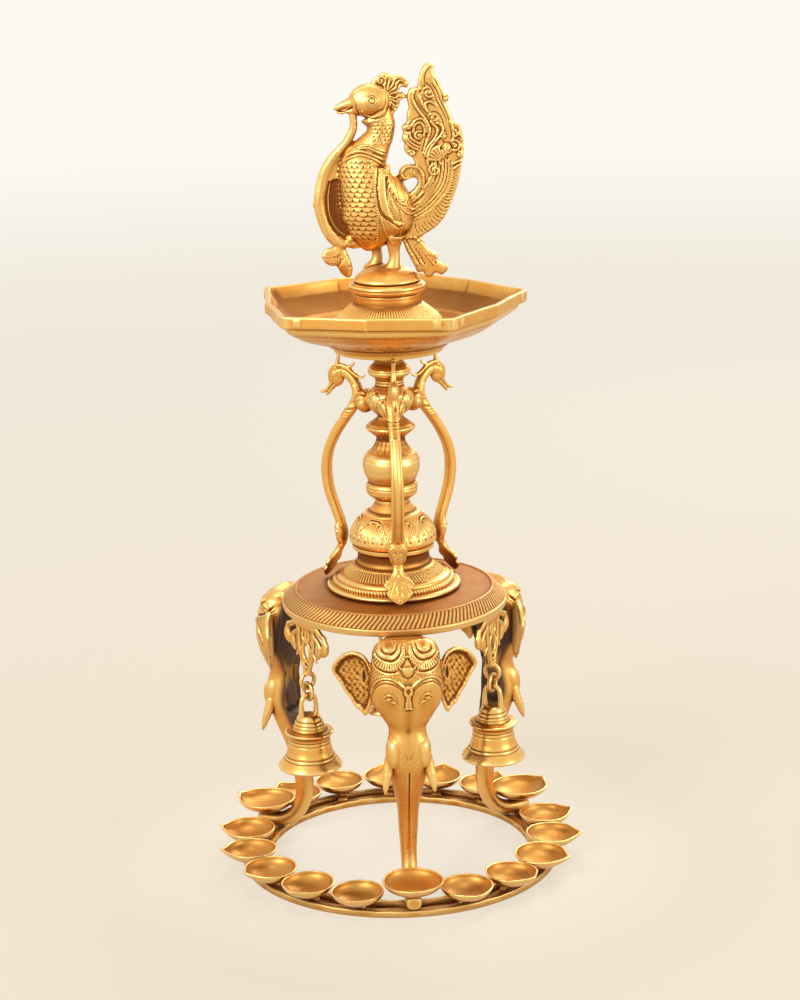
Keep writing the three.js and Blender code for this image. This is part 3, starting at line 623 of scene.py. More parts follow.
for number, azimuth in enumerate(trunk_azimuths, 1):
    rings = cup_shape(trunk_cup_pitch, trunk_cup_radius, trunk_cup_under, trunk_cup_rim, 500 + azimuth)
    cast(f"trunk_end_cup_{number}", placed_at(skin(rings), azimuth), "stand",
         [f"trunk_cup_{number}"], cup_finish)

# Elephant legs
# Three elephant heads carry the platform, each one brass casting with its ears, tusks and the trunk that
# curves down and out to the ring. The head-dress and eyes are chased after casting; a screw holds each.
leg_finish = brass_finish("elephant_brass", Roughness=0.31, Mottle=0.6, Skin=0.22)
ear_sweep = math.radians(24)
lug_reach, trunk_foot, cup_seat = 85.6, 5.2, 16.8
scalp_radius = 24.5
dome_out, dome_up = 16.0, 204.0
pendant_up = 188.6
rosette_up = 171.6


def flowing(points, parts):
    """A smooth curve through points (Catmull-Rom), with that many steps between each two."""
    points = np.asarray(points, float)
    padded = np.vstack([2 * points[0] - points[1], points, 2 * points[-1] - points[-2]])
    t = np.linspace(0, 1, parts, endpoint=False)[:, None]
    runs = []
    for a, b, c, d in zip(padded[:-3], padded[1:-2], padded[2:-1], padded[3:]):
        bend = (2 * a - 5 * b + 4 * c - d) * t ** 2 + (3 * b - a - 3 * c + d) * t ** 3
        runs.append(0.5 * (2 * b + (c - a) * t + bend))
    return np.vstack([*runs, points[-1:]])


def limb(stations, sides=40, parts=8, box=1.0, across=0.0):
    """A rounded limb along a smooth path in the XZ plane. Each station is x, z, half depth in that plane
    and half width along Y; box under 1 squares the section, and across moves the whole along Y."""
    path = flowing(stations, parts)
    run = np.gradient(path[:, :2], axis=0)
    run /= np.maximum(np.linalg.norm(run, axis=1), 1e-9)[:, None]
    turn = np.linspace(0, 2 * np.pi, sides, endpoint=False)[None, :]
    out = path[:, 2:3] * np.sign(np.cos(turn)) * np.abs(np.cos(turn)) ** box
    wide = path[:, 3:4] * np.sign(np.sin(turn)) * np.abs(np.sin(turn)) ** box
    rings = [path[:, :1] + run[:, 1:] * out, wide + across, path[:, 1:2] - run[:, :1] * out]
    return skin(np.stack(rings, -1))


def horn(points, radii, sides=20, parts=10):
    """A round tapering tube along a smooth curve through points in space, one radius at each point."""
    path = flowing(np.column_stack([points, radii]), parts)
    run = np.gradient(path[:, :3], axis=0)
    run /= np.maximum(np.linalg.norm(run, axis=1), 1e-9)[:, None]
    first = np.cross(run, np.roll(np.eye(3)[np.abs(run).mean(0).argmin()], 0))
    first /= np.linalg.norm(first, axis=1)[:, None]
    second = np.cross(run, first)
    turn = np.linspace(0, 2 * np.pi, sides, endpoint=False)[None, :, None]
    ring = first[:, None] * np.cos(turn) + second[:, None] * np.sin(turn)
    return skin(path[:, None, :3] + ring * path[:, None, 3:])


def ball(centre, halves, columns=36, rows=20):
    """An ellipsoid from rings of points between its poles."""
    fall = np.linspace(0.02, np.pi - 0.02, rows)[:, None]
    turn = np.linspace(0, 2 * np.pi, columns, endpoint=False)[None, :]
    unit = np.stack([np.sin(fall) * np.cos(turn), np.sin(fall) * np.sin(turn), -np.cos(fall) + 0 * turn], -1)
    return skin(unit * np.asarray(halves, float) + np.asarray(centre, float))


def fused(skins, voxel, rounds=2):
    """Closed skins joined into one casting: a voxel remesh of them all together, whose corners are then
    spread out so that no steps show. Only its outer surface is left."""
    points, quads, fans = gathered(*skins)
    mesh = bpy.data.meshes.new("rough")
    mesh.from_pydata(points.tolist(), [], quads.tolist() + fans.tolist())
    rough = bpy.data.objects.new("rough", mesh)
    bpy.context.scene.collection.objects.link(rough)
    remesh = rough.modifiers.new("remesh", "REMESH")
    remesh.mode = "VOXEL"
    remesh.voxel_size = voxel
    evaluated = rough.evaluated_get(bpy.context.evaluated_depsgraph_get())
    made = evaluated.to_mesh()
    points = np.empty(len(made.vertices) * 3, np.float32)
    made.vertices.foreach_get("co", points)
    corners = np.empty(len(made.loops), np.int32)
    made.loops.foreach_get("vertex_index", corners)
    points = points.reshape(-1, 3).astype(float)
    quads = corners.reshape(-1, 4)
    evaluated.to_mesh_clear()
    bpy.data.objects.remove(rough)
    bpy.data.meshes.remove(mesh)
    fans = np.zeros((0, 3), int)
    edges = edges_of(quads, fans)
    points = spread_out(points, edges, len(points), rounds)
    return points, quads, fans


class Sheet:
    """Heights in millimetres over a rectangle of small cells. Strokes and dots are drawn on it, and it is
    then pressed on a casting: each point takes the height between the four cells round its place."""

    def __init__(self, left, right, low, high, cell=0.25):
        self.left, self.low, self.cell = left, low, cell
        across = np.arange(left, right + cell, cell)
        up = np.arange(low, high + cell, cell)
        self.across, self.up = np.meshgrid(across, up)
        self.height = np.zeros_like(self.across)

    def stroke(self, path, width, height):
        """A rounded ridge of that width along a path, or a cut where height is below 0. Where it meets
        another of its kind the higher, or deeper, of the two is kept."""
        path = np.asarray(path, float)
        rows, columns = self.height.shape
        for (ax, ay), (bx, by) in zip(path[:-1], path[1:]):
            i0 = max(int((min(ax, bx) - width - self.left) / self.cell), 0)
            i1 = min(int((max(ax, bx) + width - self.left) / self.cell) + 2, columns)
            j0 = max(int((min(ay, by) - width - self.low) / self.cell), 0)
            j1 = min(int((max(ay, by) + width - self.low) / self.cell) + 2, rows)
            if i0 >= i1 or j0 >= j1:
                continue
            x, y = self.across[j0:j1, i0:i1] - ax, self.up[j0:j1, i0:i1] - ay
            length = (bx - ax) ** 2 + (by - ay) ** 2 + 1e-12
            t = np.clip((x * (bx - ax) + y * (by - ay)) / length, 0, 1)
            away = np.hypot(x - t * (bx - ax), y - t * (by - ay)) / (width / 2)
            ridge = height * np.clip(1 - away ** 2, 0, 1)
            part = self.height[j0:j1, i0:i1]
            self.height[j0:j1, i0:i1] = np.maximum(part, ridge) if height > 0 else np.minimum(part, ridge)

    def dots(self, centres, radius, height):
        """A round bead, or a pit where height is below 0, at each centre."""
        for x, y in centres:
            self.stroke([(x, y), (x + 0.01, y)], radius * 2, height)

    def at(self, across, up):
        """The height at each place, 0 outside the sheet."""
        rows, columns = self.height.shape
        x = np.clip((across - self.left) / self.cell, 0, columns - 1.001)
        y = np.clip((up - self.low) / self.cell, 0, rows - 1.001)
        i, j = x.astype(int), y.astype(int)
        x, y = x - i, y - j
        lower = self.height[j, i] * (1 - x) + self.height[j, i + 1] * x
        upper = self.height[j + 1, i] * (1 - x) + self.height[j + 1, i + 1] * x
        return lower * (1 - y) + upper * y


def spaced(path, gap):
    """Points at equal gaps along a path."""
    path = np.asarray(path, float)
    along = np.concatenate([[0], np.cumsum(np.linalg.norm(np.diff(path, axis=0), axis=1))])
    places = np.arange(gap / 2, along[-1], gap)
    return np.column_stack([np.interp(places, along, path[:, k]) for k in range(path.shape[1])])


leg_spine = np.array([
    (89, 203.4, 11.4, 17.5), (92, 194, 16.8, 23.6), (95, 178, 18, 26.2), (96.4, 162, 17.4, 26),
    (96, 150, 15, 20), (95.8, 139, 11.2, 13.6), (97, 128, 11.8, 14.8), (97.6, 116, 12.4, 16.2),
    (94.4, 103, 11.4, 13.6), (86.6, 76, 9, 8.6), (83.2, 55, 7.7, 7.2), (83.2, 35, 6.8, 6.1),
    (90.2, 19.4, 6.1, 5.9), (102.4, 12.1, 5.6, 6.0), (116, 10.9, 5.5, 6.3), (123.2, 10.9, 4.8, 5.6),
])


def ear_shape(side):
    """A fan ear: rings of points go from the middle of the hollow front out over a rolled rim and back to
    the middle of the back. Veins run out from the ear's root on the front."""
    outline = flowing([
        (-1, -38), (-0.4, -25), (2.4, -14), (8.6, -8.4), (17, -8.2), (25.4, -13.4), (31.2, -22.6),
        (27.6, -29.4), (24.6, -33.6), (20.2, -40.6), (17.2, -43.6), (13.2, -50.2), (8.6, -53.2),
        (5.6, -56.6), (2.4, -51.6), (-1, -38)], 9)[:-1]
    middle = np.array([9.5, -28.5])
    share = np.array([0.04, 0.14, 0.26, 0.38, 0.5, 0.62, 0.72, 0.8, 0.86, 0.9, 0.94, 0.975, 1.0, 1.0, 0.975,
                      0.93, 0.84, 0.7, 0.5, 0.3, 0.1])[:, None]
    front = np.array([-1.2, -1.2, -1.3, -1.4, -1.5, -1.5, -1.4, -1.6, 0.3, 1.3, 1.7, 1.3, 0.3, -1.2, -2.4,
                      -3.0, -3.3, -3.6, -3.8, -3.8, -3.8])[:, None]
    flat = middle + (outline - middle)[None] * share[..., None]
    root = np.array([0.0, -31.0])
    away = flat - root
    spoke = np.arctan2(away[..., 1], away[..., 0])
    far = np.hypot(away[..., 0], away[..., 1])
    on_front = (np.arange(len(share)) < 8)[:, None]
    veins = 0.35 * np.cos(spoke * 22 + 0.8 * np.sin(far * 0.5)) * np.clip(1.5 - far / 14, 0, 1) * on_front
    upper = np.clip((outline[:, 1] + 36) / 18, 0.2, 1)[None, :]
    depth = np.where(front > 0.2, front * upper, front) + veins
    curl = -0.8 * (flat[..., 0] / 28) ** 2
    across, up = flat[..., 0], flat[..., 1]
    x = 95.4 - across * math.sin(ear_sweep) + (depth + curl) * math.cos(ear_sweep)
    y = side * (25.4 + across * math.cos(ear_sweep) + (depth + curl) * math.sin(ear_sweep))
    return skin(np.stack([x, y, 204 + up], -1))


def elephant_sheet():
    """The chasing on the head, drawn in arc length round the head and height: two pleated crescents
    round the domes, a grooved band with a ball and a fan, a stippled band with beaded edges, a rosette
    with a tassel, lidded eyes, diamonds on the trunk's root and a groove down the trunk."""
    sheet = Sheet(-42, 42, 0, 213)
    u, z = sheet.across, sheet.up

    def around_head(points):
        """Points measured straight across the head, moved to where they lie in arc length round it."""
        points = np.asarray(points, float).copy()
        points[:, 0] = scalp_radius * np.arcsin(np.clip(points[:, 0] / 26.8, -0.99, 0.99))
        return points

    for side in (-1, 1):
        out = u * side - dome_out
        own = (u * side > 0) * (z > 178)
        away = np.hypot(np.where(out > 0, out * 0.74, out), z - dome_up)
        pleats = lobes(np.arctan2(z - dome_up, out) * 44 / (2 * np.pi), 0.6)
        sheet.height += own * between(away, 11.0, 17.2, 0.35) * (0.1 + 1.15 * pleats)
        sheet.height += own * (0.9 * between(away, 6.8, 9.2, 0.8) + 1.1 * between(away, 0, 3.4, 2.0))
        for reach, depth in ((5.4, 0.6), (10.2, 0.8), (18.1, 0.7)):
            sheet.height += own * groove(away, reach, 1.1, depth)
        sheet.height += own * (u * side > 5) * groove(away, 19.3, 1.2, -0.6)
        stippled = own * (away > 20.2) * (np.hypot(u, z - pendant_up) > 8)
        border = np.interp(u * side, [0, 4.3, 11, 16, 21, 24.6], [172.6, 175.4, 180, 182, 181.6, 177.4])
        sheet.height += np.where(stippled * (z > border), 0.3 * np.sin(u * 2.6) * np.sin(z * 2.6 + u), 0)
    middle = between(np.abs(u), 0, 2.3, 0.3) * between(z, 190.6, 211, 0.3)
    sheet.height = np.where(middle > 0.5, 0.3 + groove(np.abs(u), 1.1, 0.7, 0.6), sheet.height)
    drop = np.hypot(u, z - pendant_up)
    pendant = (z < 189.4) * (drop < 6.4)
    pendant_work = 1.1 + groove(drop, 4.4, 0.9, 0.6) + groove(drop, 5.6, 1.0, -0.3)
    sheet.height = np.where(pendant, pendant_work, sheet.height)
    turn = np.linspace(-3.1, -0.04, 20)
    sheet.stroke(np.stack([7.3 * np.cos(turn), pendant_up + 0.2 + 7.3 * np.sin(turn)], 1), 1.0, -0.7)
    for side in (-1, 1):
        sheet.stroke(flowing([(0.8 * side, 196.4), (3.4 * side, 193.4), (6.8 * side, 189.4)], 6), 3.2, 1.3)
        sheet.stroke(flowing([(0.8 * side, 195.2), (3.2 * side, 192.0), (5.6 * side, 189.6)], 6), 0.8, -0.5)
    edge = flowing([(0.6, 170.8), (4.3, 173.8), (11, 178.6), (16, 180.6), (21, 180.2), (24.6, 176),
                    (26.4, 167)], 8)
    for side in (-1, 1):
        path = around_head(edge * (side, 1))
        sheet.stroke(path + (0, 0.8), 1.8, 1.5)
        sheet.stroke(path + (0, -1.5), 1.4, 1.0)
        sheet.stroke(path + (0, -3.0), 0.9, -0.5)
        sheet.dots(spaced(path + (0, 2.6), 1.9), 0.8, 0.6)
    rosette = np.hypot(u, z - rosette_up)
    petals = lobes(np.arctan2(z - rosette_up, u) * 9 / (2 * np.pi), 0.5)
    disc = rosette < 4.7
    shape = 1.2 * between(rosette, 0, 4.2, 0.5) * (0.55 + 0.45 * petals * (rosette > 1.7))
    sheet.height = np.where(disc, shape + groove(rosette, 1.7, 0.8, 0.4), sheet.height)
    tassel = between(np.abs(u) - (167 - z) * 0.24, -9, 1.7, 0.3) * between(z, 157.6, 166.8, 0.4)
    threads = lobes(u * 0.62 + 0.5, 0.6)
    sheet.height = np.where(tassel > 0.4, 0.4 + 0.7 * threads, sheet.height)
    for side in (-1, 1):
        lid = flowing([(20.6, 167.2), (18.2, 168.9), (14.9, 168.3), (12.2, 165.6), (10.6, 163)], 8)
        low_lid = flowing([(20.1, 166.6), (17.3, 164.2), (14.1, 162.8), (10.9, 162.9)], 8)
        lid, low_lid = around_head(lid * (side, 1)), around_head(low_lid * (side, 1))
        eye = around_head([(15.8 * side, 165.8)])[0]
        tilt = 0.42 * side
        ex = (u - eye[0]) * math.cos(tilt) + (z - eye[1]) * math.sin(tilt)
        ez = -(u - eye[0]) * math.sin(tilt) + (z - eye[1]) * math.cos(tilt)
        bulge = np.sqrt(np.clip(1 - (ex / 5.2) ** 2 - (ez / 2.5) ** 2, 0, 1))
        sheet.height += 1.0 * bulge
        sheet.stroke(lid, 1.5, 1.25)
        sheet.stroke(low_lid, 1.1, 0.8)
        sheet.stroke(lid + (0, 2.1), 0.8, -0.4)
        sheet.stroke(lid + (0, -1.2), 0.7, -0.5)
        sheet.dots([eye], 0.9, -0.5)
    for u0, z0 in ((-6.8, 118.5), (6.8, 119.5)):
        for grow in (1.0, 0.45):
            diamond = np.array([(0, 4.6), (4.76, 0), (0, -4.6), (-4.76, 0), (0, 4.6)]) * grow
            sheet.stroke(diamond + (u0, z0), 0.9, -0.35)
    sheet.stroke([(0, 106), (0, 96), (0, 60), (0, 26)], 3.4, -0.7)
    for level in np.arange(22, 88, 4.2):
        wrinkle = [(a, level + 1.6 * math.cos(a / 14)) for a in np.linspace(-26, 26, 14)]
        sheet.stroke(wrinkle, 0.7, -0.1)
    return sheet


def elephant_shape():
    """The casting: head and trunk as one limb, two domes, ears, tusks, jaw and the lug for the screw,
    fused, with the head's forms pushed in or out and the chasing pressed on the side that faces out. The
    back is hollow, and its inside is made dark and rough: partly the unpolished inside, partly painted
    shade. The slot in each ear is darkened as painted shade, and the ear's hollow front gets painted shade
    in its hollows."""
    parts = [limb(leg_spine, 56, 9, 0.92)]
    for side in (-1, 1):
        parts.append(ball((95.2, side * 12.6, 196.4), (11.8, 11.2, 9.4)))
        parts.append(ear_shape(side))
        sheath = [(99, 134, 2.4, 2.4), (100.8, 127, 7.2, 5.4), (102, 118, 7.4, 5.8), (102.6, 111, 5.0, 4.4)]
        parts.append(limb(sheath, 28, 8, 1.0, side * 10.6))
        tusk = [(101.8, side * 13.4, 117), (103.6, side * 15.2, 109.6), (105.6, side * 16.6, 102.4),
                (107.2, side * 17.6, 96.6), (108.4, side * 18.2, 91.6)]
        parts.append(horn(tusk, [4.0, 3.7, 3.1, 2.3, 0.8], 24, 14))
        for share, size in ((0.36, 3.85), (0.42, 3.7)):
            step = share * 4
            low, high = np.array(tusk[int(step)]), np.array(tusk[int(step) + 1])
            parts.append(ball(low + (high - low) * (step % 1), (size, size, 0.8), 24, 10))
    parts.append(limb([(92, 132, 6, 8), (88, 122, 6, 8), (86.6, 112, 5, 6.4), (87, 106, 3, 4)], 24, 6))
    lug = np.array([(69.2, 203.6, 3.4, 7.4), (80, 200.6, 3.4, 8), (90, 199, 4.4, 9)])
    parts.append(limb(lug, 24, 5, 0.5))
    parts.append(limb([(80, 199.8, 4.6, 15), (88, 200, 4.7, 18.5), (98, 199, 4.8, 16.5)], 32, 5, 0.7))
    points, quads, fans = fused(parts, 0.75, 2)
    spine = flowing(leg_spine[:, :2], 8)
    order = np.argsort(spine[:, 1])
    axis_x = np.interp(points[:, 2], spine[order, 1], spine[order, 0])
    theta = np.arctan2(points[:, 1], points[:, 0] - axis_x)
    normal = normals_of(points, quads, fans)
    head = points[:, 2] > 26
    half = np.interp(points[:, 2], leg_spine[::-1][4:, 1], leg_spine[::-1][4:, 3])
    on_head = np.clip((half + 2.4 - np.abs(points[:, 1])) / 1.2, 0, 1) * head
    facing = np.clip((normal[:, 0] + 0.4) / 0.4, 0, 1) * np.clip((0.86 - normal[:, 2]) / 0.3, 0, 1)
    forms = 1.3 * np.exp(-(points[:, 1] / 13) ** 2 - ((points[:, 2] - 128) / 14) ** 2)
    valley = -1.5 * np.exp(-(points[:, 1] / 4.6) ** 2) * between(points[:, 2], 120, 172, 14)
    brow = 1.6 * np.exp(-((np.abs(points[:, 1]) - 14.5) / 8) ** 2 - ((points[:, 2] - 176) / 11) ** 2)
    cheek = -1.6 * np.exp(-((np.abs(points[:, 1]) - 13) / 6) ** 2 - ((points[:, 2] - 158) / 8) ** 2)
    chased = elephant_sheet().at(theta * scalp_radius, points[:, 2])
    raised = (forms + valley + brow + cheek + chased) * on_head * facing
    points = points + normal * raised[:, None]
    points = points + normal * (0.07 * wave_noise(points, 17, 31))[:, None]
    behind = np.clip((axis_x - 4.5 - points[:, 0]) / 3, 0, 1) * between(points[:, 2], 108, 195, 3)
    behind *= np.clip((half - 2.5 - np.abs(points[:, 1])) / 3, 0, 1) * np.clip(-normal[:, 0] * 2, 0, 1)
    points[:, 0] += 6.5 * behind
    ear = (np.abs(points[:, 1]) > half + 2) * (points[:, 2] > 142)
    ear_hollow = ear * (normal[:, 0] > 0.5)
    slot = np.hypot((np.abs(points[:, 1]) - 30.2) / 1.1, (points[:, 2] - 177.5) / 4.2)
    embossed = 0.2 * wave_noise(points, 3.7, 12) + 0.15 * wave_noise(points, 2.4, 31)
    points[:, 0] += ear_hollow * (embossed - 1.3 * np.clip(1.3 - slot, 0, 1))
    under_plate = np.hypot(points[:, 0], points[:, 1]) < lug_reach
    points[under_plate, 2] = np.minimum(points[under_plate, 2], lug_ceiling)
    points[:, 2] = np.maximum(points[:, 2], trunk_foot)
    under_cup = (np.hypot(points[:, 0] - trunk_cup_pitch, points[:, 1]) < 15) & (points[:, 2] < 30)
    points[under_cup, 2] = np.minimum(points[under_cup, 2], cup_seat)
    # Painted shade, partly the unpolished inside: the back of the head, where it faces away, goes dark except
    # on the ears, and the slot in each ear goes dark as painted shade.
    shade = np.clip((axis_x - 2.5 - points[:, 0]) / 5, 0, 1) * between(points[:, 2], 92, 204, 9)
    unpolished_and_shade = 1.3 * shade * np.clip(0.5 - normal[:, 0], 0, 1) * (1 - 0.85 * ear)
    unpolished_and_shade = np.clip(unpolished_and_shade + ear_hollow * np.where(slot < 1.1, 0.7, 0), 0, 0.95)
    # The ear's hollow front gets painted shade added to its hollows.
    return (points, quads, fans), unpolished_and_shade, 0.22 * ear_hollow


lug_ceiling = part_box("platform")[0].z / MM - 0.1
leg_shape, leg_unpolished_and_shade, leg_ear_shade = elephant_shape()
for number, azimuth in enumerate(trunk_azimuths, 1):
    cast(f"elephant_{number}", placed_at(leg_shape, azimuth), "stand",
         [f"elephant_leg_{number}"], leg_finish, unpolished_and_shade=leg_unpolished_and_shade, painted_shade=leg_ear_shade)

# Platform
# A round plate cast with a thick hollow rim, turned flat and left matt on top, with gadroons chased round
# its sloping edge. It is screwed to the elephant heads from below and bored for the tie rod.
# The platform's brass colour is much darker than the rest: painted shade, set to how its top reads with
# little light on it.
platform_finish = brass_finish("platform_brass", Roughness=0.42, Mottle=0.9, Skin=0.3,
                               Bright=(0.5, 0.215, 0.05))
platform_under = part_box("platform")[0].z / MM
platform_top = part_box("platform")[1].z / MM
bore = 4.4
gadroon_count = 144
slope_inner, slope_width = 75.4, 8.6


def gadroons(radius, height, angle):
    """Slanting ridges, bent like an S, on the sloping edge, a ring under it and lathe marks on top."""
    slope = (radius - slope_inner) / slope_width
    bent = 0.85 * np.sin((slope - 0.5) * 2.6)
    ridges = lobes(angle * gadroon_count / (2 * np.pi) + bent, 0.45)
    here = between(slope, 0.06, 0.92, 0.08) * (height > platform_under + 4.6)
    chased = here * (0.9 * ridges - 0.6)
    rings = groove(height, platform_under + 1.6, 0.7, 0.2) * (radius > 80)
    lathe = 0.03 * np.sin(radius * 3.1) * (height > platform_top - 1.4) * (radius < 73)
    return chased + rings + lathe


low, high = platform_under, platform_top
plate_corners = [
    (bore, low + 7.2), (68, low + 7.2), (68, low), (84.6, low), (85, low + 4.9), (83.6, low + 5.4),
    (75.6, high - 0.9), (75.2, high - 0.1), (73.6, high - 0.05), (73.0, high - 0.5), (bore, high - 0.5),
]
plate_profile = rounded(
    plate_corners, [0.3, 0.8, 0.6, 0.8, 0.7, 0.4, 0.4, 0.5, 0.5, 0.4, 0.3],
    [8, 4, 3, 2.5, 1, 0.5, 0.5, 0.6, 0.5, 5, 4], closed=True)
cast("platform_plate", skin(turned(plate_profile, 864, gadroons, closed=True, seed=4), closed=True), "stand",
     ["platform"], platform_finish)

# Bells
# Three bells hang under the platform. A pierced foliage plate is cast with an eye at its foot, a plain
# ring links it to the bell's loop, and the clapper swings on a pin through the crown.
bell_finish = brass_finish("bell_brass", Roughness=0.27, Mottle=0.45, Grime=0.95, Skin=0.08)
hanger_finish = brass_finish("hanger_brass", Roughness=0.36, Mottle=0.6, Skin=0.25)
clapper_finish = brass_finish("clapper_brass", Roughness=0.42, Mottle=0.7, Skin=0.3)
bell_azimuths = [60, 180, 300]
bell_place = 80.0
eye_height, link_height, pin_height = 158.5, 150.1, 122.3


def ring_of(centre, halves, wire, plane="YZ", columns=44, rows=16):
    """A closed ring of round wire: an ellipse of those halves in the XZ or the YZ plane."""
    turn = np.linspace(0, 2 * np.pi, columns, endpoint=False)[:, None, None]
    bend = np.linspace(0, 2 * np.pi, rows, endpoint=False)[None, :, None]
    side = np.array([1.0, 0, 0] if plane == "XZ" else [0, 1.0, 0])
    up = np.array([0, 0, 1.0])
    spoke = side * np.cos(turn) * halves[0] + up * np.sin(turn) * halves[1]
    out = side * np.cos(turn) * halves[1] + up * np.sin(turn) * halves[0]
    out = out / np.linalg.norm(out, axis=2)[..., None]
    flat = np.cross(side, up)
    round_wire = wire * (out * np.cos(bend) - flat * np.sin(bend))
    return skin(np.asarray(centre, float) + spoke + round_wire, closed=True)


def upright(shape):
    """A shape drawn in the XZ plane about X = 0, turned to stand in the plane across the bell's place."""
    points, quads, fans = shape
    return np.stack([bell_place - points[:, 1], points[:, 0], points[:, 2]], 1), quads, fans


def hanger_shape():
    """The plate: a bar under the rim, two stems that cross a pointed ring and meet over the eye, and two
    drooping buds on curled stalks at each side."""
    parts = [limb([(-16.4, 201.9, 2.0, 1.9), (-8, 201.6, 2.3, 2.1), (0, 201.4, 2.4, 2.2),
                   (8, 201.6, 2.3, 2.1), (16.4, 201.9, 2.0, 1.9)], 24, 6, 0.7)]
    for side in (-1, 1):
        stem = [(10.6, 202, 2.3, 2.0), (9.2, 196, 1.7, 1.8), (9.8, 190, 1.5, 1.7), (8.8, 182.6, 1.6, 1.8),
                (6.2, 175.6, 1.6, 1.8), (3.6, 169.4, 1.6, 1.8), (1.9, 163.4, 1.5, 1.9)]
        inner = [(3.8, 202, 1.8, 1.8), (3.4, 197, 1.2, 1.5), (4.4, 192.6, 1.1, 1.4), (2.2, 188.6, 1.3, 1.5)]
        outer = [(14.6, 201.6, 2.1, 1.9), (19.4, 198.6, 1.9, 1.8), (23.6, 197.4, 1.6, 1.7),
                 (25.4, 194.4, 1.7, 1.7)]
        bud = [(25.2, 195.4, 1.4, 1.6), (25.6, 192, 2.6, 2.2), (25.0, 188, 3.2, 2.5), (23.2, 184.6, 2.0, 1.9),
               (22.2, 182.6, 0.7, 0.9)]
        low = [(10, 195.4, 1.5, 1.7), (13.8, 193.8, 1.5, 1.6), (17.0, 191.4, 1.5, 1.6)]
        low_bud = [(16.8, 192.2, 1.2, 1.4), (18, 188.6, 2.2, 2.0), (17.8, 184.8, 2.6, 2.1),
                   (16, 181, 1.6, 1.5), (15, 178.8, 0.6, 0.8)]
        thorn = [(8.8, 181, 1.2, 1.3), (12, 178.6, 1.1, 1.1), (13.6, 175, 0.6, 0.7)]
        for path in (stem, inner, outer, bud, low, low_bud, thorn):
            parts.append(limb(np.array(path) * (side, 1, 1.3, 1.1), 22, 6))
        parts.append(ball((side * 24.4, 0, 197.8), (1.5, 2.0, 1.5), 16, 10))
        parts.append(ball((side * 17.6, 0, 192.0), (1.3, 1.9, 1.3), 16, 10))
    parts.append(limb([(0, 202, 1.8, 1.8), (0, 196, 1.3, 1.5), (0, 190.6, 1.5, 1.6), (0, 189, 0.6, 0.8)], 20,
                      6))
    for height in (173.4, 169.4, 165.8):
        parts.append(ball((0, 0, height), (2.4, 2.3, 1.2), 20, 10))
    parts.append(ring_of((0, 0, 181.4), (4.8, 7.4), 1.5, "XZ"))
    parts = [upright(part) for part in parts]
    parts.append(ring_of((bell_place, 0, eye_height), (5.7, 5.7), 1.7, "XZ"))
    points, quads, fans = fused(parts, 0.48, 2)
    normal = normals_of(points, quads, fans)
    across, up = points[:, 1], points[:, 2]
    sheet = Sheet(-29, 29, 160, 205, 0.2)
    for side in (-1, 1):
        for path in ([(10.4, 200), (9.2, 195), (9.8, 190), (8.8, 182.6), (6.2, 175.6), (3.6, 169.4)],
                     [(15, 201), (19.6, 198.2), (23.6, 197)], [(10.6, 194.6), (14, 193.2), (17, 190.6)]):
            sheet.stroke(flowing(np.array(path) * (side, 1), 6), 0.8, -0.5)
        for bud in ([(25.4, 193), (25, 188), (23, 184)], [(18.2, 190), (17.8, 185), (16, 181)]):
            vein = flowing(np.array(bud) * (side, 1), 6)
            for shift, width, depth in ((0, 0.7, -0.45), (1.6, 0.6, -0.3), (-1.6, 0.6, -0.3)):
                sheet.stroke(vein + (shift, 0), width, depth)
    faced = np.clip(np.abs(normal[:, 0]) * 1.8 - 0.5, 0, 1) * (up > 165)
    points = points + normal * (sheet.at(across, up) * faced + 0.05 * wave_noise(points, 9, 5))[:, None]
    points[:, 2] = np.minimum(points[:, 2], lug_ceiling - 0.2)
    return points, quads, fans


def turning_lines(radius, height, angle):
    """Fine grooves cut while the bell turned in the lathe, and the faint waves of its polish."""
    outside = radius > np.interp(height, [90, 100.4, 109.2, 121.6, 127], [22.8, 17.4, 14.4, 10.1, 6])
    cuts = sum(groove(height, level, 0.75, 0.5) for level in (98.4, 100.9, 110.4, 113.2, 122.6, 125.0, 127.8))
    return np.where(outside, 0.015 * np.sin(height * 5) + cuts, 0)


bell_corners = [
    (0.3, 132.4), (6.4, 132.2), (8.4, 130.8), (9.6, 128.2), (10.9, 125.4), (11.9, 122.6), (12.6, 120.4),
    (15.4, 119.9), (18.0, 119.6), (18.5, 118.6), (17.6, 117.4), (15.8, 116.0), (15.5, 112.2), (16.0, 108.6),
    (16.8, 104.8), (18.2, 101.0), (20.2, 97.6), (22.6, 94.8), (24.2, 92.6), (24.0, 91.2), (23.2, 90.9),
    (22.2, 91.0), (20.8, 93.6), (18.4, 97.2), (16.5, 100.6), (14.6, 105), (13.6, 109.2), (12.4, 114),
    (10.2, 120), (8.2, 124), (5.2, 126.8), (0.3, 127.3),
]
bell_rounding = [0.1] + [1.0] * (len(bell_corners) - 2) + [0.1]
bell_profile = rounded(bell_corners, bell_rounding, 0.55)[::-1]
bell_body = skin(turned(bell_profile, 128, turning_lines, seed=8, wobble=0.04))
loop_path = [(-6.2, 0, 130.6), (-6.5, 0, 134.4), (-6.4, 0, 139.8), (-5.4, 0, 144.2), (-3.0, 0, 146.7),
             (0, 0, 147.4), (3.0, 0, 146.7), (5.4, 0, 144.2), (6.4, 0, 139.8), (6.5, 0, 134.4),
             (6.2, 0, 130.6)]
bell_loop = horn(loop_path, [2.5, 2.0, 1.7, 1.7, 1.7, 1.7, 1.7, 1.7, 1.7, 2.0, 2.5], 18, 6)
bell_pin = horn([(0, reach, pin_height) for reach in (-10.3, 0, 10.3)], [1, 1, 1], 14, 2)
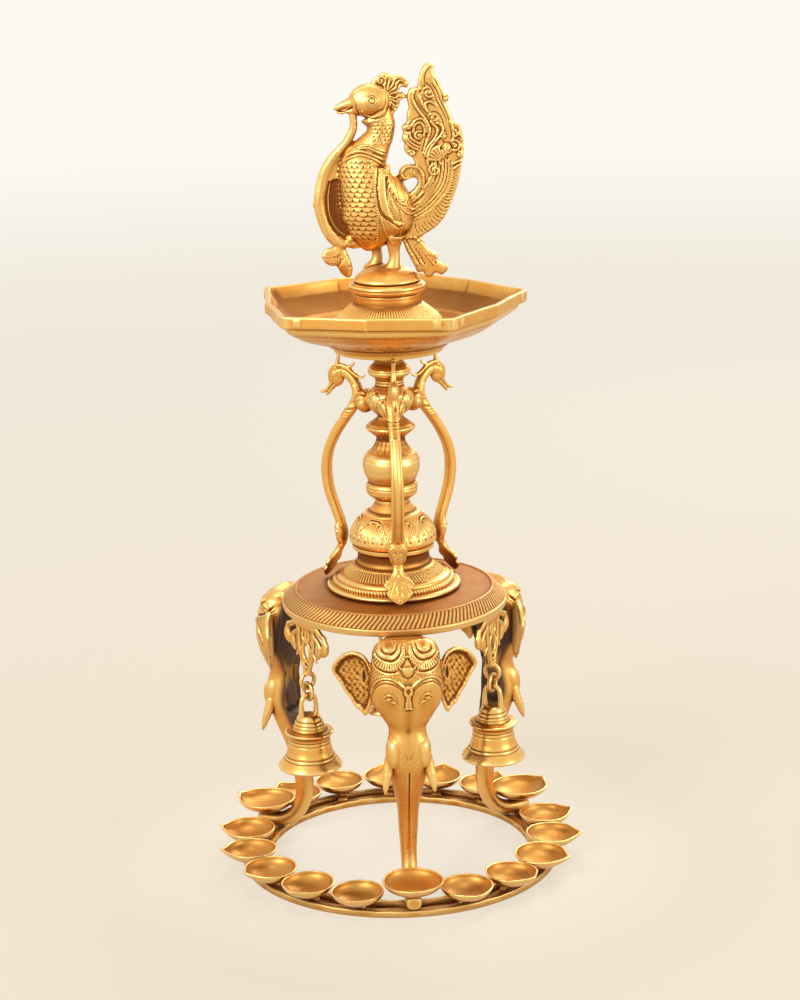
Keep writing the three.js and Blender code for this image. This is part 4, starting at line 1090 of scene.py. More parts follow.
clapper_corners = [(0.3, 120.2), (1.3, 119.8), (1.25, 112), (1.3, 104.6), (2.0, 103.9), (4.0, 102.4),
                   (4.6, 99.8), (3.9, 97), (1.8, 95.4), (0.3, 95.2)]
clapper_profile = rounded(clapper_corners, [0.1] + [0.6] * 8 + [0.1], 0.5)[::-1]
clapper_rod = skin(turned(clapper_profile, 36, seed=4, wobble=0.03))
clapper_eye = ring_of((0, 0, pin_height), (2.4, 2.4), 1.0, "XZ", 36, 14)


def hung(*shapes):
    """Shapes drawn about the lamp's axis, gathered and moved out to the bell's place."""
    points, quads, fans = gathered(*shapes)
    return points + (bell_place, 0, 0), quads, fans


hanger = hanger_shape()
link_ring = ring_of((bell_place, 0, link_height), (6.2, 6.2), 1.5, "YZ", 64, 18)
whole_bell = hung(bell_body, bell_loop, bell_pin)
whole_clapper = hung(clapper_rod, clapper_eye)
for number, azimuth in enumerate(bell_azimuths, 1):
    cast(f"hanger_plate_{number}", placed_at(hanger, azimuth), "stand", [f"bell_hanger_{number}"],
         hanger_finish)
    cast(f"link_ring_{number}", placed_at(link_ring, azimuth), f"link_{number}", [f"hook_link_{number}"],
         hanger_finish)
    cast(f"turned_bell_{number}", placed_at(whole_bell, azimuth), f"bell_{number}", [f"bell_{number}"],
         bell_finish)
    cast(f"bell_tongue_{number}", placed_at(whole_clapper, azimuth), f"clapper_{number}",
         [f"clapper_{number}"], clapper_finish)

# Stem
# Three hollow turned castings stacked on the tie rod: a skirted foot with chased petals, a vase with a
# belly and a ribbed ring, and a lotus bulb under the bowl.
stem_finish = brass_finish("stem_brass", Roughness=0.34, Mottle=0.6, Skin=0.2)
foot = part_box("stem_lower")[0].z / MM
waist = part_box("stem_middle")[0].z / MM
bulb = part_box("stem_upper")[0].z / MM


def stem_piece(name, corners, foot, columns, relief, node_name, radius=0.6, step=0.8, seed=1):
    """A stem casting from its outside profile of (radius, height over its foot), bored for the rod."""
    corners = [(bore, 0), *corners, (bore, corners[-1][1])]
    profile = rounded(corners, radius, step, closed=True)
    inside = profile[:, 0] < bore + 0.1
    profile = profile[~inside | (np.arange(len(profile)) % 6 == 0)]
    profile[:, 1] += foot
    cast(name, skin(turned(profile, columns, relief, closed=True, seed=seed), closed=True), "stand",
         [node_name], stem_finish)


def skirt_work(radius, height, angle):
    """Chasing on the foot: a beaded ring, short slanting flutes under the waist, and on the dome a
    border of scallops with a floret in each, under seven striped petals with a rim."""
    up = height - foot
    turns = angle / (2 * np.pi)
    outside = radius > 9
    beads = between(up, 4.0, 7.2, 0.4) * between(radius, 43.8, 47, 0.5)
    raised = beads * (0.8 * lobes(turns * 112 + up * 0.1, 0.8) - 0.55)
    skirt = between(up, 11.6, 16.6, 0.5) * between(radius, 30.6, 38, 0.4)
    raised = raised + skirt * (0.95 * lobes(turns * 96 + up * 0.16) - 0.6)
    for middle in (31.0, 33.2):
        raised = raised + groove(up, middle, 0.8, 0.4)
    scallop = (turns * 28) % 1 - 0.5
    border = 39.4 + 1.1 * (np.abs(scallop) * 2) ** 2
    dome = between(up, 35.6, 56, 0.5)
    raised = raised + dome * groove(up, border, 0.9, 0.5)
    side = np.abs(scallop) * radius * 2 * np.pi / 28
    floret = np.hypot(side, up - 42.4)
    raised = raised + dome * 0.7 * np.clip(1 - floret / 1.2, 0, 1) + dome * groove(floret, 2.0, 0.8, 0.5)
    petal = np.abs((turns * 7) % 1 - 0.5) * 2
    arch = 43.5 + 9.5 * (1 - petal ** 3)
    raised = raised + dome * (groove(up, arch, 1.0, 0.55) + groove(up, arch + 1.9, 0.9, 0.45))
    raised = raised + dome * 0.5 * between(up, arch + 0.5, arch + 1.5, 0.3)
    stripes = 0.5 - 0.5 * np.cos(turns * 2 * np.pi * 112)
    raised = raised - dome * 0.42 * stripes * between(up, 44.6, arch - 1, 0.4)
    raised = raised + groove(up, 56.6, 0.9, 0.4)
    return raised * outside


stem_piece("skirted_foot", [
    (49.4, 0), (50.7, 1.7), (49.6, 3.4), (47.0, 3.8), (45.4, 4.0), (45.9, 5.7), (45.0, 7.3), (43.2, 7.6),
    (42.9, 9.0), (41.4, 10.4), (38.6, 10.8), (37.6, 11.3), (31.4, 16.4), (31.0, 17.4), (28.2, 18.6),
    (26.6, 24), (27.2, 28.4), (29.6, 29.6), (30.8, 30.4), (30.8, 33.8), (31.6, 34.4), (32.8, 36.4),
    (32.7, 41.4), (30.6, 46.4), (26.6, 51.6), (22.6, 55.2), (21.4, 57.4), (17.6, 58.8), (15.6, 61.6),
    (13.0, 64.8), (12.8, 67.4),
], foot, 560, skirt_work, "stem_lower", [
    0.3, 0.8, 1.6, 1.2, 0.6, 0.6, 1.6, 1.2, 0.5, 1.2, 1.4, 0.5, 0.7, 0.8, 0.5, 0.9, 3.2, 2.6, 0.9, 0.5, 0.5,
    0.5, 1.6, 3.2, 3.2, 3.2, 1.6, 1.2, 1.2, 1.6, 0.8, 0.4, 0.3], [8, *[1.1] * 17, *[0.8] * 10, *[1.4] * 5],
    seed=5)


def belly_work(radius, height, angle):
    """Lines round the vase: three on its shoulder ring, two under the belly, and upright ribs on the
    underside of the ring near its top."""
    up = height - waist
    turns = angle / (2 * np.pi)
    outside = radius > 9
    raised = groove(up, 6.8, 0.8, 0.35) + groove(up, 9.6, 0.8, 0.35) + groove(up, 15.2, 0.8, 0.3)
    raised = raised + groove(up, 31.6, 0.9, 0.35) + groove(up, 34.4, 0.9, 0.35)
    ribs = between(up, 49.2, 53.4, 0.7) * (0.7 * lobes(turns * 40) - 0.45)
    raised = raised + ribs + groove(up, 56.6, 0.7, 0.3)
    petals = between(up, 37.5, 44.5, 1.2) * (0.5 * lobes(turns * 16, 0.6) - 0.3)
    return (raised + petals) * outside


stem_piece("belly_vase", [
    (12.6, 0), (15.2, 1.4), (17.4, 3), (18.9, 4.6), (19.5, 7.6), (19.5, 10.6), (18.4, 12.3), (17.3, 13.2),
    (18.6, 16), (20.8, 20.6), (21.6, 26), (21.2, 30.6), (19.4, 34.6), (16.2, 36.6), (14.0, 38.6),
    (11.4, 42.6), (10.4, 46.4), (11.6, 48.6), (15.6, 51.8), (18.4, 54.2), (18.6, 55.6), (16.4, 57.6),
    (12.4, 60), (10.2, 62), (9.3, 63.6),
], waist, 480, belly_work, "stem_middle", [
    0.3, 0.5, 1.0, 1.0, 1.4, 1.4, 1.0, 0.8, 0.9, 1.8, 3, 3.4, 3.2, 1.6, 1.2, 1.6, 2.6, 2.2, 1.6, 1.2, 0.7,
    0.7, 1.2, 1.6, 1.2, 0.4, 0.3], 0.95, seed=6)


def lotus_work(radius, height, angle):
    """Chasing on the bulb: two staggered rows of eight lotus petals with a rib down each, rings round
    the neck, and a line under the rim of the disc."""
    up = height - bulb
    turns = angle / (2 * np.pi)
    outside = radius > 8.6
    raised = 0 * up
    for shift, base, tall in ((0, 3.2, 11.5), (0.5, 8.5, 10.5)):
        petal = np.abs((turns * 8 + shift) % 1 - 0.5) * 2
        arch = base + tall * (1 - petal ** 2.4)
        raised = raised + groove(up, arch, 1.3, 0.55)
        inside = (up < arch) * (up > base + 0.6)
        raised = raised + inside * 0.35 * (1 - petal) + groove(petal * 6, 0, 0.9, 0.35) * inside
    bulb_only = between(up, 1.6, 20.4, 0.8)
    raised = raised * bulb_only
    for middle in (23.0, 25.0, 27.0):
        raised = raised + groove(up, middle, 0.9, 0.5)
    return (raised + groove(up, 34.4, 0.8, 0.4) + groove(up, 43.6, 0.8, 0.35)) * outside


stem_piece("lotus_bulb", [
    (9.3, 0), (11.2, 1.6), (13.8, 3.6), (16.0, 6.6), (17.4, 10), (17.7, 13.4), (16.6, 16.8), (14.4, 19.6),
    (11.4, 21.6), (10.7, 23), (10.6, 27.4), (11.6, 29), (14.6, 30.6), (15.9, 32.4), (15.9, 35.4),
    (14.4, 37.2), (11.6, 39.2), (10.2, 41.6), (10.2, 44.2), (11.4, 46.6), (13, 48.8),
], bulb, 384, lotus_work, "stem_upper", [
    0.3, 0.4, 1.0, 1.4, 1.8, 2.0, 2.0, 2.0, 1.6, 1.0, 0.8, 0.9, 0.9, 1.2, 0.9, 0.9, 1.2, 1.4, 1.4, 1.0, 1.2,
    0.4, 0.3], 0.85, seed=7)

# Bird brackets
# Three cast straps rise from leaf-shaped feet on the platform, clasp the stem's bulb with a shell and end
# in birds' heads whose crests touch the bowl. Leaves, wraps and eyes are chased after casting.
bracket_finish = brass_finish("bracket_brass", Roughness=0.33, Mottle=0.5, Skin=0.2)
bracket_spine = [
    (43.2, 244, 2.4, 3.7), (42.6, 249, 3.2, 4.3), (42.6, 256, 3.4, 4.6), (43.8, 263.5, 3.3, 4.8),
    (47.8, 274.6, 3.4, 4.9), (52, 286.6, 3.5, 4.9), (54, 298, 3.6, 4.8), (54.0, 309, 3.6, 4.7),
    (51.4, 320.4, 3.6, 4.5), (45.6, 332.4, 3.6, 4.3), (38.2, 343.2, 3.6, 4.1), (31.6, 352.4, 3.8, 4.0),
    (27.0, 361, 4.0, 3.9), (27.0, 368.4, 3.9, 3.7), (30.6, 375.0, 3.5, 3.4), (36.6, 379.2, 3.8, 3.3),
    (43, 378.4, 4.6, 3.4),
]


def bracket_sheet():
    """Chasing on the outer face, across and up: the foot's shield with its scrolls and border, the husk's
    leaves, the strap's ridge between two grooves, the wraps and the shell's ribs."""
    sheet = Sheet(-13, 13, 217, 373, 0.2)
    strap = [(0, level) for level in np.arange(265, 345, 4)]
    sheet.stroke(strap, 3.4, 0.5)
    for side in (-1, 1):
        sheet.stroke(np.array(strap) + (2.5 * side, 0), 0.9, -0.35)
        for reach, rise in ((1.0, 12), (2.2, 13), (3.6, 13.2), (5.0, 12.2), (6.2, 10.4)):
            leaf = flowing([(0.4 * reach * side, 246.6), (0.9 * reach * side, 251),
                            (reach * side, 247 + rise)], 6)
            sheet.stroke(leaf, 0.8, -0.5)
            sheet.dots([(leaf[-1][0] + 0.5 * side, leaf[-1][1] - 0.4)], 0.9, 0.6)
        for level in (249.4, 251.6, 253.8):
            sheet.stroke([(0, level - 2), (2.6 * side, level + 0.6)], 0.8, 0.5)
        for out, fall in ((3.4, 240.6), (5.6, 239), (8.0, 237.4), (10.2, 235.6)):
            leaf = flowing([(0.8 * side, 245), (0.4 * out * side, 241.4), (out * side, fall - 2.4)], 6)
            sheet.stroke(leaf, 0.8, -0.45)
        sheet.stroke(flowing([(1.4 * side, 243.6), (3.2 * side, 239), (7.6 * side, 236.2),
                              (10.8 * side, 235.2)], 6), 1.2, 0.6)
        turn = np.linspace(0, 3.6 * math.pi, 30)
        scroll = np.stack([side * (8.8 + (2.3 - 0.19 * turn) * np.cos(turn)),
                           232.0 + (2.3 - 0.19 * turn) * np.sin(turn)], 1)
        sheet.stroke(scroll, 0.9, 0.6)
        border = flowing(np.array([(0.3, 220.2), (3.6, 221.9), (7, 224.2), (8.4, 226.6), (7.2, 229),
                                   (6.2, 231.4), (5, 234.2), (2.6, 237)]) * (side, 1), 6)
        sheet.stroke(border, 0.9, 0.5)
        sheet.stroke(border + (-1.0 * side, 0.4), 0.6, -0.4)
        for step in range(3):
            band = flowing([(0.4 * side, 347.2 + 2.2 * step), (3.4 * side, 347.0 + 2.2 * step),
                            (6.4 * side, 344.6 + 2.2 * step)], 6)
            sheet.stroke(band, 1.5, 0.75)
            sheet.stroke(band + (0, 1.1), 0.6, -0.4)
    turn = np.linspace(0, 1.7 * math.pi, 22)
    for middle, hand in ((230.6, 1), (226.4, -1)):
        motif = np.stack([hand * 2.0 * np.cos(turn), middle + 2.1 * np.sin(turn)], 1)
        sheet.stroke(motif, 0.8, 0.5)
    sheet.stroke([(-3, 234.4), (0, 236.2), (3, 234.4)], 0.8, 0.45)
    sheet.dots([(0, 222.9), (0, 239.2)], 0.9, 0.5)
    u, z = sheet.across, sheet.up
    ray = np.arctan2(u, z - 345.5)
    on_shell = between(np.hypot(u, z - 345.5), 9, 26, 0.6) * (z > 352) * (np.abs(u) > 3.4)
    sheet.height += on_shell * (0.75 * lobes(ray * 30 / (2 * np.pi) + 0.5, 0.7) - 0.1)
    return sheet


def head_sheet():
    """Chasing on the bird's sides, in X and height: the eye, the feather lines round it, the mouth and
    the folds of the neck."""
    sheet = Sheet(14, 62, 352, 400, 0.2)
    turn = np.linspace(0, 2 * math.pi, 24)
    for size, height in ((1.7, 0.6), (0.6, 0.6)):
        sheet.stroke(np.stack([45.2 + size * np.cos(turn), 378.6 + size * np.sin(turn)], 1), 0.9, height)
    for size in (3.2, 4.4, 5.5):
        arc = np.linspace(0.2, 2.1, 12)
        sheet.stroke(np.stack([44.6 + size * np.cos(arc), 378.2 + size * np.sin(arc)], 1), 0.6, -0.4)
    for size in (3.4, 4.8):
        arc = np.linspace(3.0, 4.3, 10)
        sheet.stroke(np.stack([44.6 + size * np.cos(arc), 378.4 + size * np.sin(arc)], 1), 0.6, -0.3)
    sheet.stroke(flowing([(45, 370.8), (47.6, 368.8), (50.4, 365.6)], 6), 0.8, -0.6)
    sheet.stroke(flowing([(37, 374.8), (38.6, 378.4), (38, 382.2)], 6), 0.8, -0.5)
    for shift in (0, 2.4, 4.8):
        sheet.stroke(flowing([(23.6, 358.4 + shift), (27, 356.4 + shift), (30.6, 355.6 + shift)], 6), 0.7,
                     -0.25)
    return sheet


def bracket_shape():
    """The casting: foot, husk, strap, shell clasp, neck, head, open beak and crest, fused and chased."""
    foot = [(57.4, 219.4, 0.8, 1.0), (56.3, 221.4, 1.3, 4.6), (54.8, 224.4, 1.7, 8.2),
            (53.3, 227.2, 1.8, 9.5), (52.3, 229.2, 1.7, 8.4), (51.0, 231.6, 1.9, 11.0),
            (49.6, 234.4, 1.9, 10.6), (47.4, 237.8, 1.9, 6.8), (45.0, 242, 2.2, 4.0), (43.4, 246, 2.6, 3.6)]
    husk = [(43.0, 246.4, 3.0, 4.0), (42.8, 250, 4.0, 6.0), (43.0, 255, 4.5, 6.9), (43.8, 259.6, 4.1, 6.6),
            (44.6, 262.6, 3.0, 5.6)]
    parts = [limb(foot, 40, 6, 0.7), limb(husk, 36, 6), limb(bracket_spine, 36, 7, 0.72)]
    parts.append(ball((19.6, 0, 359.4), (7.4, 9.2, 8.8), 48, 30))
    parts += [
        limb([(30, 357, 3, 3.4), (22, 360, 4.4, 5), (17.6, 361, 4.6, 4.6)], 28, 6),
        ball((44.0, 0, 376.4), (7.0, 3.5, 8.2), 40, 24),
        limb([(46.6, 371.4, 3.2, 2.5), (49.4, 367.8, 1.9, 2.0), (52.2, 365.2, 1.4, 1.7),
              (55.2, 363.5, 1.3, 1.5), (58, 363.7, 0.8, 1.1)], 24, 7),
        limb([(45.6, 370, 2.8, 2.4), (48.2, 366.4, 1.7, 1.9), (50.4, 363.4, 1.3, 1.6),
              (52.5, 360.8, 0.8, 1.1)], 24, 7),
        limb([(45.5, 383.4, 1.2, 1.9), (40, 384.8, 1.4, 1.9), (34.6, 383.4, 1.4, 1.8), (30, 380.0, 1.3, 1.7),
              (25.6, 377.0, 1.2, 1.5), (22, 376.8, 0.9, 1.2), (19.8, 378.8, 0.5, 0.8)], 22, 7),
        limb([(35.4, 383.4, 1.3, 1.7), (32, 384.4, 1.1, 1.5), (29.6, 385.8, 1.0, 1.3),
              (28.8, 387.8, 0.6, 0.9)], 20, 6),
        limb([(44, 382.6, 2.4, 2.2), (42.6, 387, 1.7, 1.8), (41.8, 391.4, 1.4, 1.5), (42.6, 395.4, 1.3, 1.5),
              (44.2, 398.6, 1.5, 1.6)], 22, 7),
    ]
    points, quads, fans = fused(parts, 0.49, 2)
    normal = normals_of(points, quads, fans)
    x, y, z = points.T
    outer = np.clip((normal[:, 0] + 0.1 + 0.4 * (z > 344)) / 0.35, 0, 1)
    outer = outer * (x < 62 - 0.15 * np.abs(y)) * (z < 372)
    beside = np.clip(np.abs(normal[:, 1]) * 1.8 - 0.5, 0, 1) * (x > 24)
    raised = bracket_sheet().at(y, z) * outer * (z < 371) + head_sheet().at(x, z) * beside * (z > 354)
    points = points + normal * (raised + 0.05 * wave_noise(points, 11, 9))[:, None]
    points[:, 2] = np.clip(points[:, 2], bracket_low, bracket_high)
    return points, quads, fans


bracket_low, bracket_high = (corner.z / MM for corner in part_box("bird_bracket_1"))
bracket = bracket_shape()
for number, azimuth in enumerate(trunk_azimuths, 1):
    cast(f"bird_strap_{number}", placed_at(bracket, azimuth), "stand", [f"bird_bracket_{number}"],
         bracket_finish)

# Oil bowl
# A shallow cast bowl whose rim runs out straight into five wick spouts. Its rim band is plain with small
# pads beside the spouts, its underside is chased, and it stands on a low foot ring on the stem.
bowl_finish = brass_finish("bowl_brass", Roughness=0.33, Mottle=0.6, Grime=0.8, Skin=0.2)
bowl_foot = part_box("oil_bowl")[0].z / MM
bowl_side = 90.5
bowl_spout = 105.8
spouts = 5
first_spout = 21.7


def bowl_reach(turns):
    """How far the rim is from the axis: five straight sides that meet at the spouts' tips, each pushed
    out a little at its middle. Turns are counted in sides, 0 at a spout."""
    off = np.abs((turns + 0.5) % 1 - 0.5) * 2
    half = math.pi / spouts
    flat = bowl_spout * math.cos(half)
    straight = flat / np.cos(half * (1 - off))
    tip = -1.4 * np.exp(-(off / 0.035) ** 2)
    return straight + (bowl_side - flat) * off ** 1.5 + tip


def bowl_shape(columns):
    """The bowl as closed rows of points. Each row has a radius, a height and a share of the rim's
    outline, so the bowl goes from round at its foot to five-sided at its rim. Chasing is added along
    the row's outward direction."""
    corners = np.array([
        (bore, 0.4, 0), (37.4, 0.4, 0), (38.4, 0, 0), (40.6, 0.3, 0), (41.2, 3.4, 0), (41.6, 4.2, 0),
        (44.6, 5.0, 0), (46.0, 7.4, 0.02), (55, 10.4, 0.08), (64, 13.4, 0.2), (74, 17.4, 0.4), (82, 23, 0.66),
        (85.6, 26.4, 0.84), (86.0, 30.4, 0.92), (87.4, 31.2, 0.97), (90.2, 31.7, 1), (90.5, 32.4, 1),
        (90.5, 39.3, 1), (90.0, 40, 1), (87.2, 40, 0.97), (86.5, 39.4, 0.95), (84.4, 34.4, 0.86),
        (81, 28, 0.66), (74, 21, 0.4), (64, 16.4, 0.16), (54, 13.4, 0.04), (46, 12.2, 0), (bore, 12.2, 0),
    ])
    bends = [0.3, 1, 0.6, 1, 0.6, 0.6, 1, 2, 4, 4, 4, 4, 2, 0.9, 0.7, 0.5, 0.5, 0.6, 0.6, 0.6, 0.8, 3, 4,
             4, 4, 4, 2, 0.3]
    steps = [8, 1, 1, 1, 1, 1, 0.8, 1.2, 1.2, 1.2, 1.2, 1, 1, 1, 1, 1, 1.2, 1, 1, 1, 2, 2, 2, 2, 2.5, 3, 8, 3]
    rows = rounded(corners, bends, steps, closed=True)
    turns = np.linspace(0, spouts, columns, endpoint=False)[None, :]
    angle = turns * 2 * math.pi / spouts
    radius, height, share = rows[:, :1], rows[:, 1:2], rows[:, 2:]
    along = np.roll(rows, -1, 0) - np.roll(rows, 1, 0)
    along = along[:, :2] / np.maximum(np.hypot(along[:, 0], along[:, 1]), 1e-9)[:, None]
    reach = radius + (bowl_reach(turns) - bowl_side) * share
    outer = (along[:, :1] > -0.2) & (along[:, 1:] > -0.35)
    below = (height < 32) & outer & (radius > 40)
    dentils = between(height, 3.5, 5.4, 0.4) * (0.5 * lobes(angle * 150 / (2 * np.pi), 0.6) - 0.3)
    across = ((angle * 14 / (2 * np.pi)) % 1 - 0.5) * 28
    from_middle = np.hypot(across, radius - 50)
    arcs = sum(groove(from_middle, ring, 1.1, 0.5) for ring in (10.5, 12.7, 14.9))
    chased = between(height, 7.6, 20, 0.8) * arcs
    band = groove(height, 24.6, 0.9, 0.4) + groove(height, 30.8, 0.8, 0.4)
    from_spout = np.abs((turns + 0.5) % 1 - 0.5) * 2
    pad = between(from_spout, 0.13, 0.19, 0.015) * between(height, 33.4, 38.4, 0.4) * outer
    raised = below * (dentils + chased + band) + 0.5 * pad
    inner = (height > 14) & ~outer
    raised = raised + inner * 0.05 * wave_noise(
        np.stack(np.broadcast_arrays(reach * np.cos(angle), reach * np.sin(angle), height), -1), 17, 12)
    reach = reach + along[:, 1:] * raised
    rise = bowl_foot + height - along[:, :1] * raised
    turned_by = math.radians(first_spout - 90)
    return np.stack([reach * np.cos(angle + turned_by), reach * np.sin(angle + turned_by), rise], -1)


cast("five_spout_bowl", skin(bowl_shape(700), closed=True), "stand", ["oil_bowl"], bowl_finish)

# Fluted dome
# A hollow dome cast with about a hundred fine flutes stands in the bowl and carries the peacock's collar,
# which is a plain turned ring with a line round it.
dome_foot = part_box("bowl_dome")[0].z / MM
collar_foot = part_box("peacock_pedestal")[0].z / MM


def flutes(radius, height, angle):
    """A hundred fine ridges from the dome's rim up to its neck, and two lines round the neck."""
    up = height - dome_foot
    fluted = between(up, 2.6, 21.6, 1.2) * (radius > 24)
    ridges = fluted * (0.62 * lobes(angle * 100 / (2 * np.pi), 0.8) - 0.4)
    return ridges + groove(up, 24.6, 0.8, 0.35) * (radius > 20) + groove(up, 28.4, 0.8, 0.3) * (radius > 20)


dome_profile = rounded([
    (bore, 0), (43.2, 0), (43.9, 1.4), (43.4, 2.6), (42.8, 3.4), (41.4, 8.4), (37.4, 13.6), (31.6, 18.2),
    (27, 21.8), (25, 23.2), (24.8, 30.4), (bore, 30.4),
], [0.3, 0.5, 0.6, 0.5, 1, 3, 3.5, 3.5, 2, 1, 0.5, 0.3], [8, 1, 1, 1, 1, 1.2, 1.2, 1.2, 1, 1, 6, 6],
    closed=True)
dome_profile[:, 1] += dome_foot
cast("fluted_dome", skin(turned(dome_profile, 800, flutes, closed=True, seed=8), closed=True), "stand",
     ["bowl_dome"], bowl_finish)



def collar_line(radius, height, angle):
    """The line cut round the collar's middle."""
    return groove(height, collar_foot + 4, 0.9, 0.4) * (radius > 20)


collar_profile = rounded([
    (bore, 0), (25.2, 0), (26.2, 0.6), (28.1, 1.8), (28.2, 4), (28.1, 6.2), (26.2, 7.4), (25.2, 8), (bore, 8),
], [0.3, 0.4, 0.6, 0.9, 1.6, 0.9, 0.6, 0.4, 0.3], [6, 1, 1, 1, 1, 1, 1, 6, 4], closed=True)
collar_profile[:, 1] += collar_foot
cast("peacock_collar", skin(turned(collar_profile, 240, collar_line, closed=True, seed=9), closed=True),
     "stand", ["peacock_pedestal"], bowl_finish)

# Peacock
# One brass casting: the bird stands on a low mound with a garland hanging from its beak and an upright
# scrolled tail, the same on both sides. Scales, feathers and scrolls are chased after casting, and the
# mound sits on the collar over the end of the tie rod.
bird_finish = brass_finish("peacock_brass", Roughness=0.34, Mottle=0.5, Skin=0.2, Bright=(0.87, 0.51, 0.14))
mound_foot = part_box("peacock")[0].z / MM
bird_turn = math.radians(-4.3)
bird_spine = np.array([
    (-2.5, 122, 12.2, 8.4), (0.7, 115, 10.3, 8.6), (-0.6, 106, 9.9, 8.8), (-4.7, 98.5, 12.3, 10.2),
    (-8.6, 92.6, 14.4, 12), (-12.2, 87, 16.4, 13.6), (-12.3, 79.6, 18.4, 15), (-10.1, 71, 21.2, 16.2),
    (-6.4, 62, 24.8, 17), (-4, 53.2, 26.4, 16.8), (-3, 44.8, 25.4, 15.6), (-3.2, 36.6, 21.8, 13.4),
    (-2.6, 30, 15.8, 10.2), (-1, 26, 9.4, 5.6),
])


def slab(outline, thickness, parts=3, soften=0.8):
    """The rim of a plate of even thickness in the XZ plane: rings of points that go from one face to the
    other round its softened edge."""
    edge = flowing(list(outline) + [outline[0]], parts)[:-1]
    if np.sum(edge[:, 0] * np.roll(edge[:, 1], -1) - np.roll(edge[:, 0], -1) * edge[:, 1]) < 0:
        edge = edge[::-1]
    out = np.roll(edge, -1, 0) - np.roll(edge, 1, 0)
    out = np.stack([out[:, 1], -out[:, 0]], 1) / np.maximum(np.hypot(out[:, 0], out[:, 1]), 1e-9)[:, None]
    rings = []
    for inset, depth in ((soften, -1), (0.15 * soften, -0.8), (0, -0.4), (0, 0.4), (0.15 * soften, 0.8),
                         (soften, 1)):
        flat = edge - out * inset
        rings.append(np.column_stack([flat[:, 0], np.full(len(flat), -depth * thickness / 2), flat[:, 1]]))
    return np.stack(rings)


def filled(rings):
    """A slab's rings as a closed body, its two faces filled by the triangles that Blender finds for the
    outline."""
    count, columns = rings.shape[:2]
    points = rings.reshape(-1, 3)
    i, j = np.arange(count - 1)[:, None], np.arange(columns)[None, :]
    side = (j + 1) % columns
    quads = np.stack(np.broadcast_arrays(i * columns + j, i * columns + side, (i + 1) * columns + side,
                                         (i + 1) * columns + j), -1).reshape(-1, 4)
    flat = [Vector((x, z, 0)) for x, _, z in rings[0]]
    face = np.array(tessellate_polygon([flat]))
    return points, quads, np.vstack([face, face[:, ::-1] + (count - 1) * columns])


def plate(outline, thickness, parts=3, soften=0.8):
    """A slab of that outline as a closed body."""
    return filled(slab(outline, thickness, parts, soften))


tail_outline = [
    (8, 52), (14, 60), (21.1, 65), (24.6, 68.3), (26.4, 72.4), (24.4, 75.4), (20.4, 74.6), (16.8, 73.2),
    (13.8, 75.2), (12.8, 79.2), (15.2, 83.2), (19.6, 84.8), (24.8, 84.4), (22.8, 89.8), (18.9, 92.6),
    (16.9, 96.6), (17.6, 99.8), (15.7, 103.6), (16.8, 108.4), (15.9, 112.4), (19.8, 115.6), (19.6, 120.4),
    (21.2, 125.4), (20.4, 131), (21.2, 137.4), (24.6, 140.2), (27.9, 139.6), (28.3, 144.4), (30.4, 151.6),
    (33.6, 156.2), (37.2, 157.4), (40.7, 155.6), (39.6, 151.4), (43.2, 144.4), (46.3, 137), (49.7, 134.6),
    (50.3, 130.8), (47.9, 128.6), (51.6, 120.4), (53.8, 115.2), (57.4, 113.4), (59.4, 107.6), (60.3, 100),
    (60.2, 93.2), (58.5, 84.6), (57.2, 77.4), (54.9, 68.4), (52, 60.6), (48.6, 52.4), (44.2, 44.8),
    (38.3, 39), (31.6, 34.8), (24.8, 31.4), (18, 31), (12, 32),
]
lower_tail = [
    (10, 38), (14.4, 28.6), (18, 18.2), (21.4, 8.4), (23.2, 5.6), (26.6, 6.6), (28.6, 2.6), (33.2, 2.6),
    (35.4, 5.6), (40.2, 3.8), (44.2, 7.2), (45.2, 11.2), (41.6, 11.4), (38.6, 14.4), (38.4, 19.4),
    (34.6, 21.4), (30.5, 26.4), (26, 34.4),
]
crest_outline = [
    (-5, 138), (-4.6, 143.4), (-2.6, 147.6), (1.2, 148.8), (3.6, 151.2), (6.6, 151.8), (8.2, 148.9),
    (11.6, 148.9), (15.6, 149.2), (19.2, 147.4), (21.8, 143.4), (20.4, 139.6), (17, 140.8), (14.8, 138.8),
    (14, 136.4), (18, 136.6), (19.2, 133), (15.6, 131.4), (14.6, 127.6), (12.4, 124.2), (9, 121.4), (3, 126),
]

# Places on the bird that several of its forms share, in X and height over the mound's foot
chase_shift = (2.6, -1.2)
fan_x, fan_z = 45.4, 87.0
wheel_x, wheel_z = -38.6, 18.6
eye_x, eye_z = -5.0, 131.8


def along_tail(offset):
    """The curve that the tail's ribs follow, from its root up to its outer edge, moved outwards by that
    many millimetres."""
    line = flowing([(22.4, 46), (28.4, 48.8), (34.4, 52.8), (40.2, 58.4), (45.4, 64.6), (48.8, 71.2),
                    (50.4, 79.4), (50.8, 88.6)], 8)
    run = np.gradient(line, axis=0)
    out = np.stack([run[:, 1], -run[:, 0]], 1) / np.hypot(run[:, 0], run[:, 1])[:, None]
    return line + out * offset


def curl(x, z, size, start, turns, hand=1):
    """A volute: a spiral that winds in to a point from that size, starting at an angle in degrees."""
    t = np.linspace(0, 1, 26)
    angle = math.radians(start) + hand * turns * 2 * math.pi * t
    reach = size * (1 - 0.86 * t)
    return np.stack([x + reach * np.cos(angle), z + reach * np.sin(angle)], 1)


def ridges(sheet, lines, width, height):
    """Smooth ridges or cuts along lines of points, all moved by chase_shift."""
    for line in lines:
        sheet.stroke(flowing(np.array(line) + chase_shift, 7), width, height)


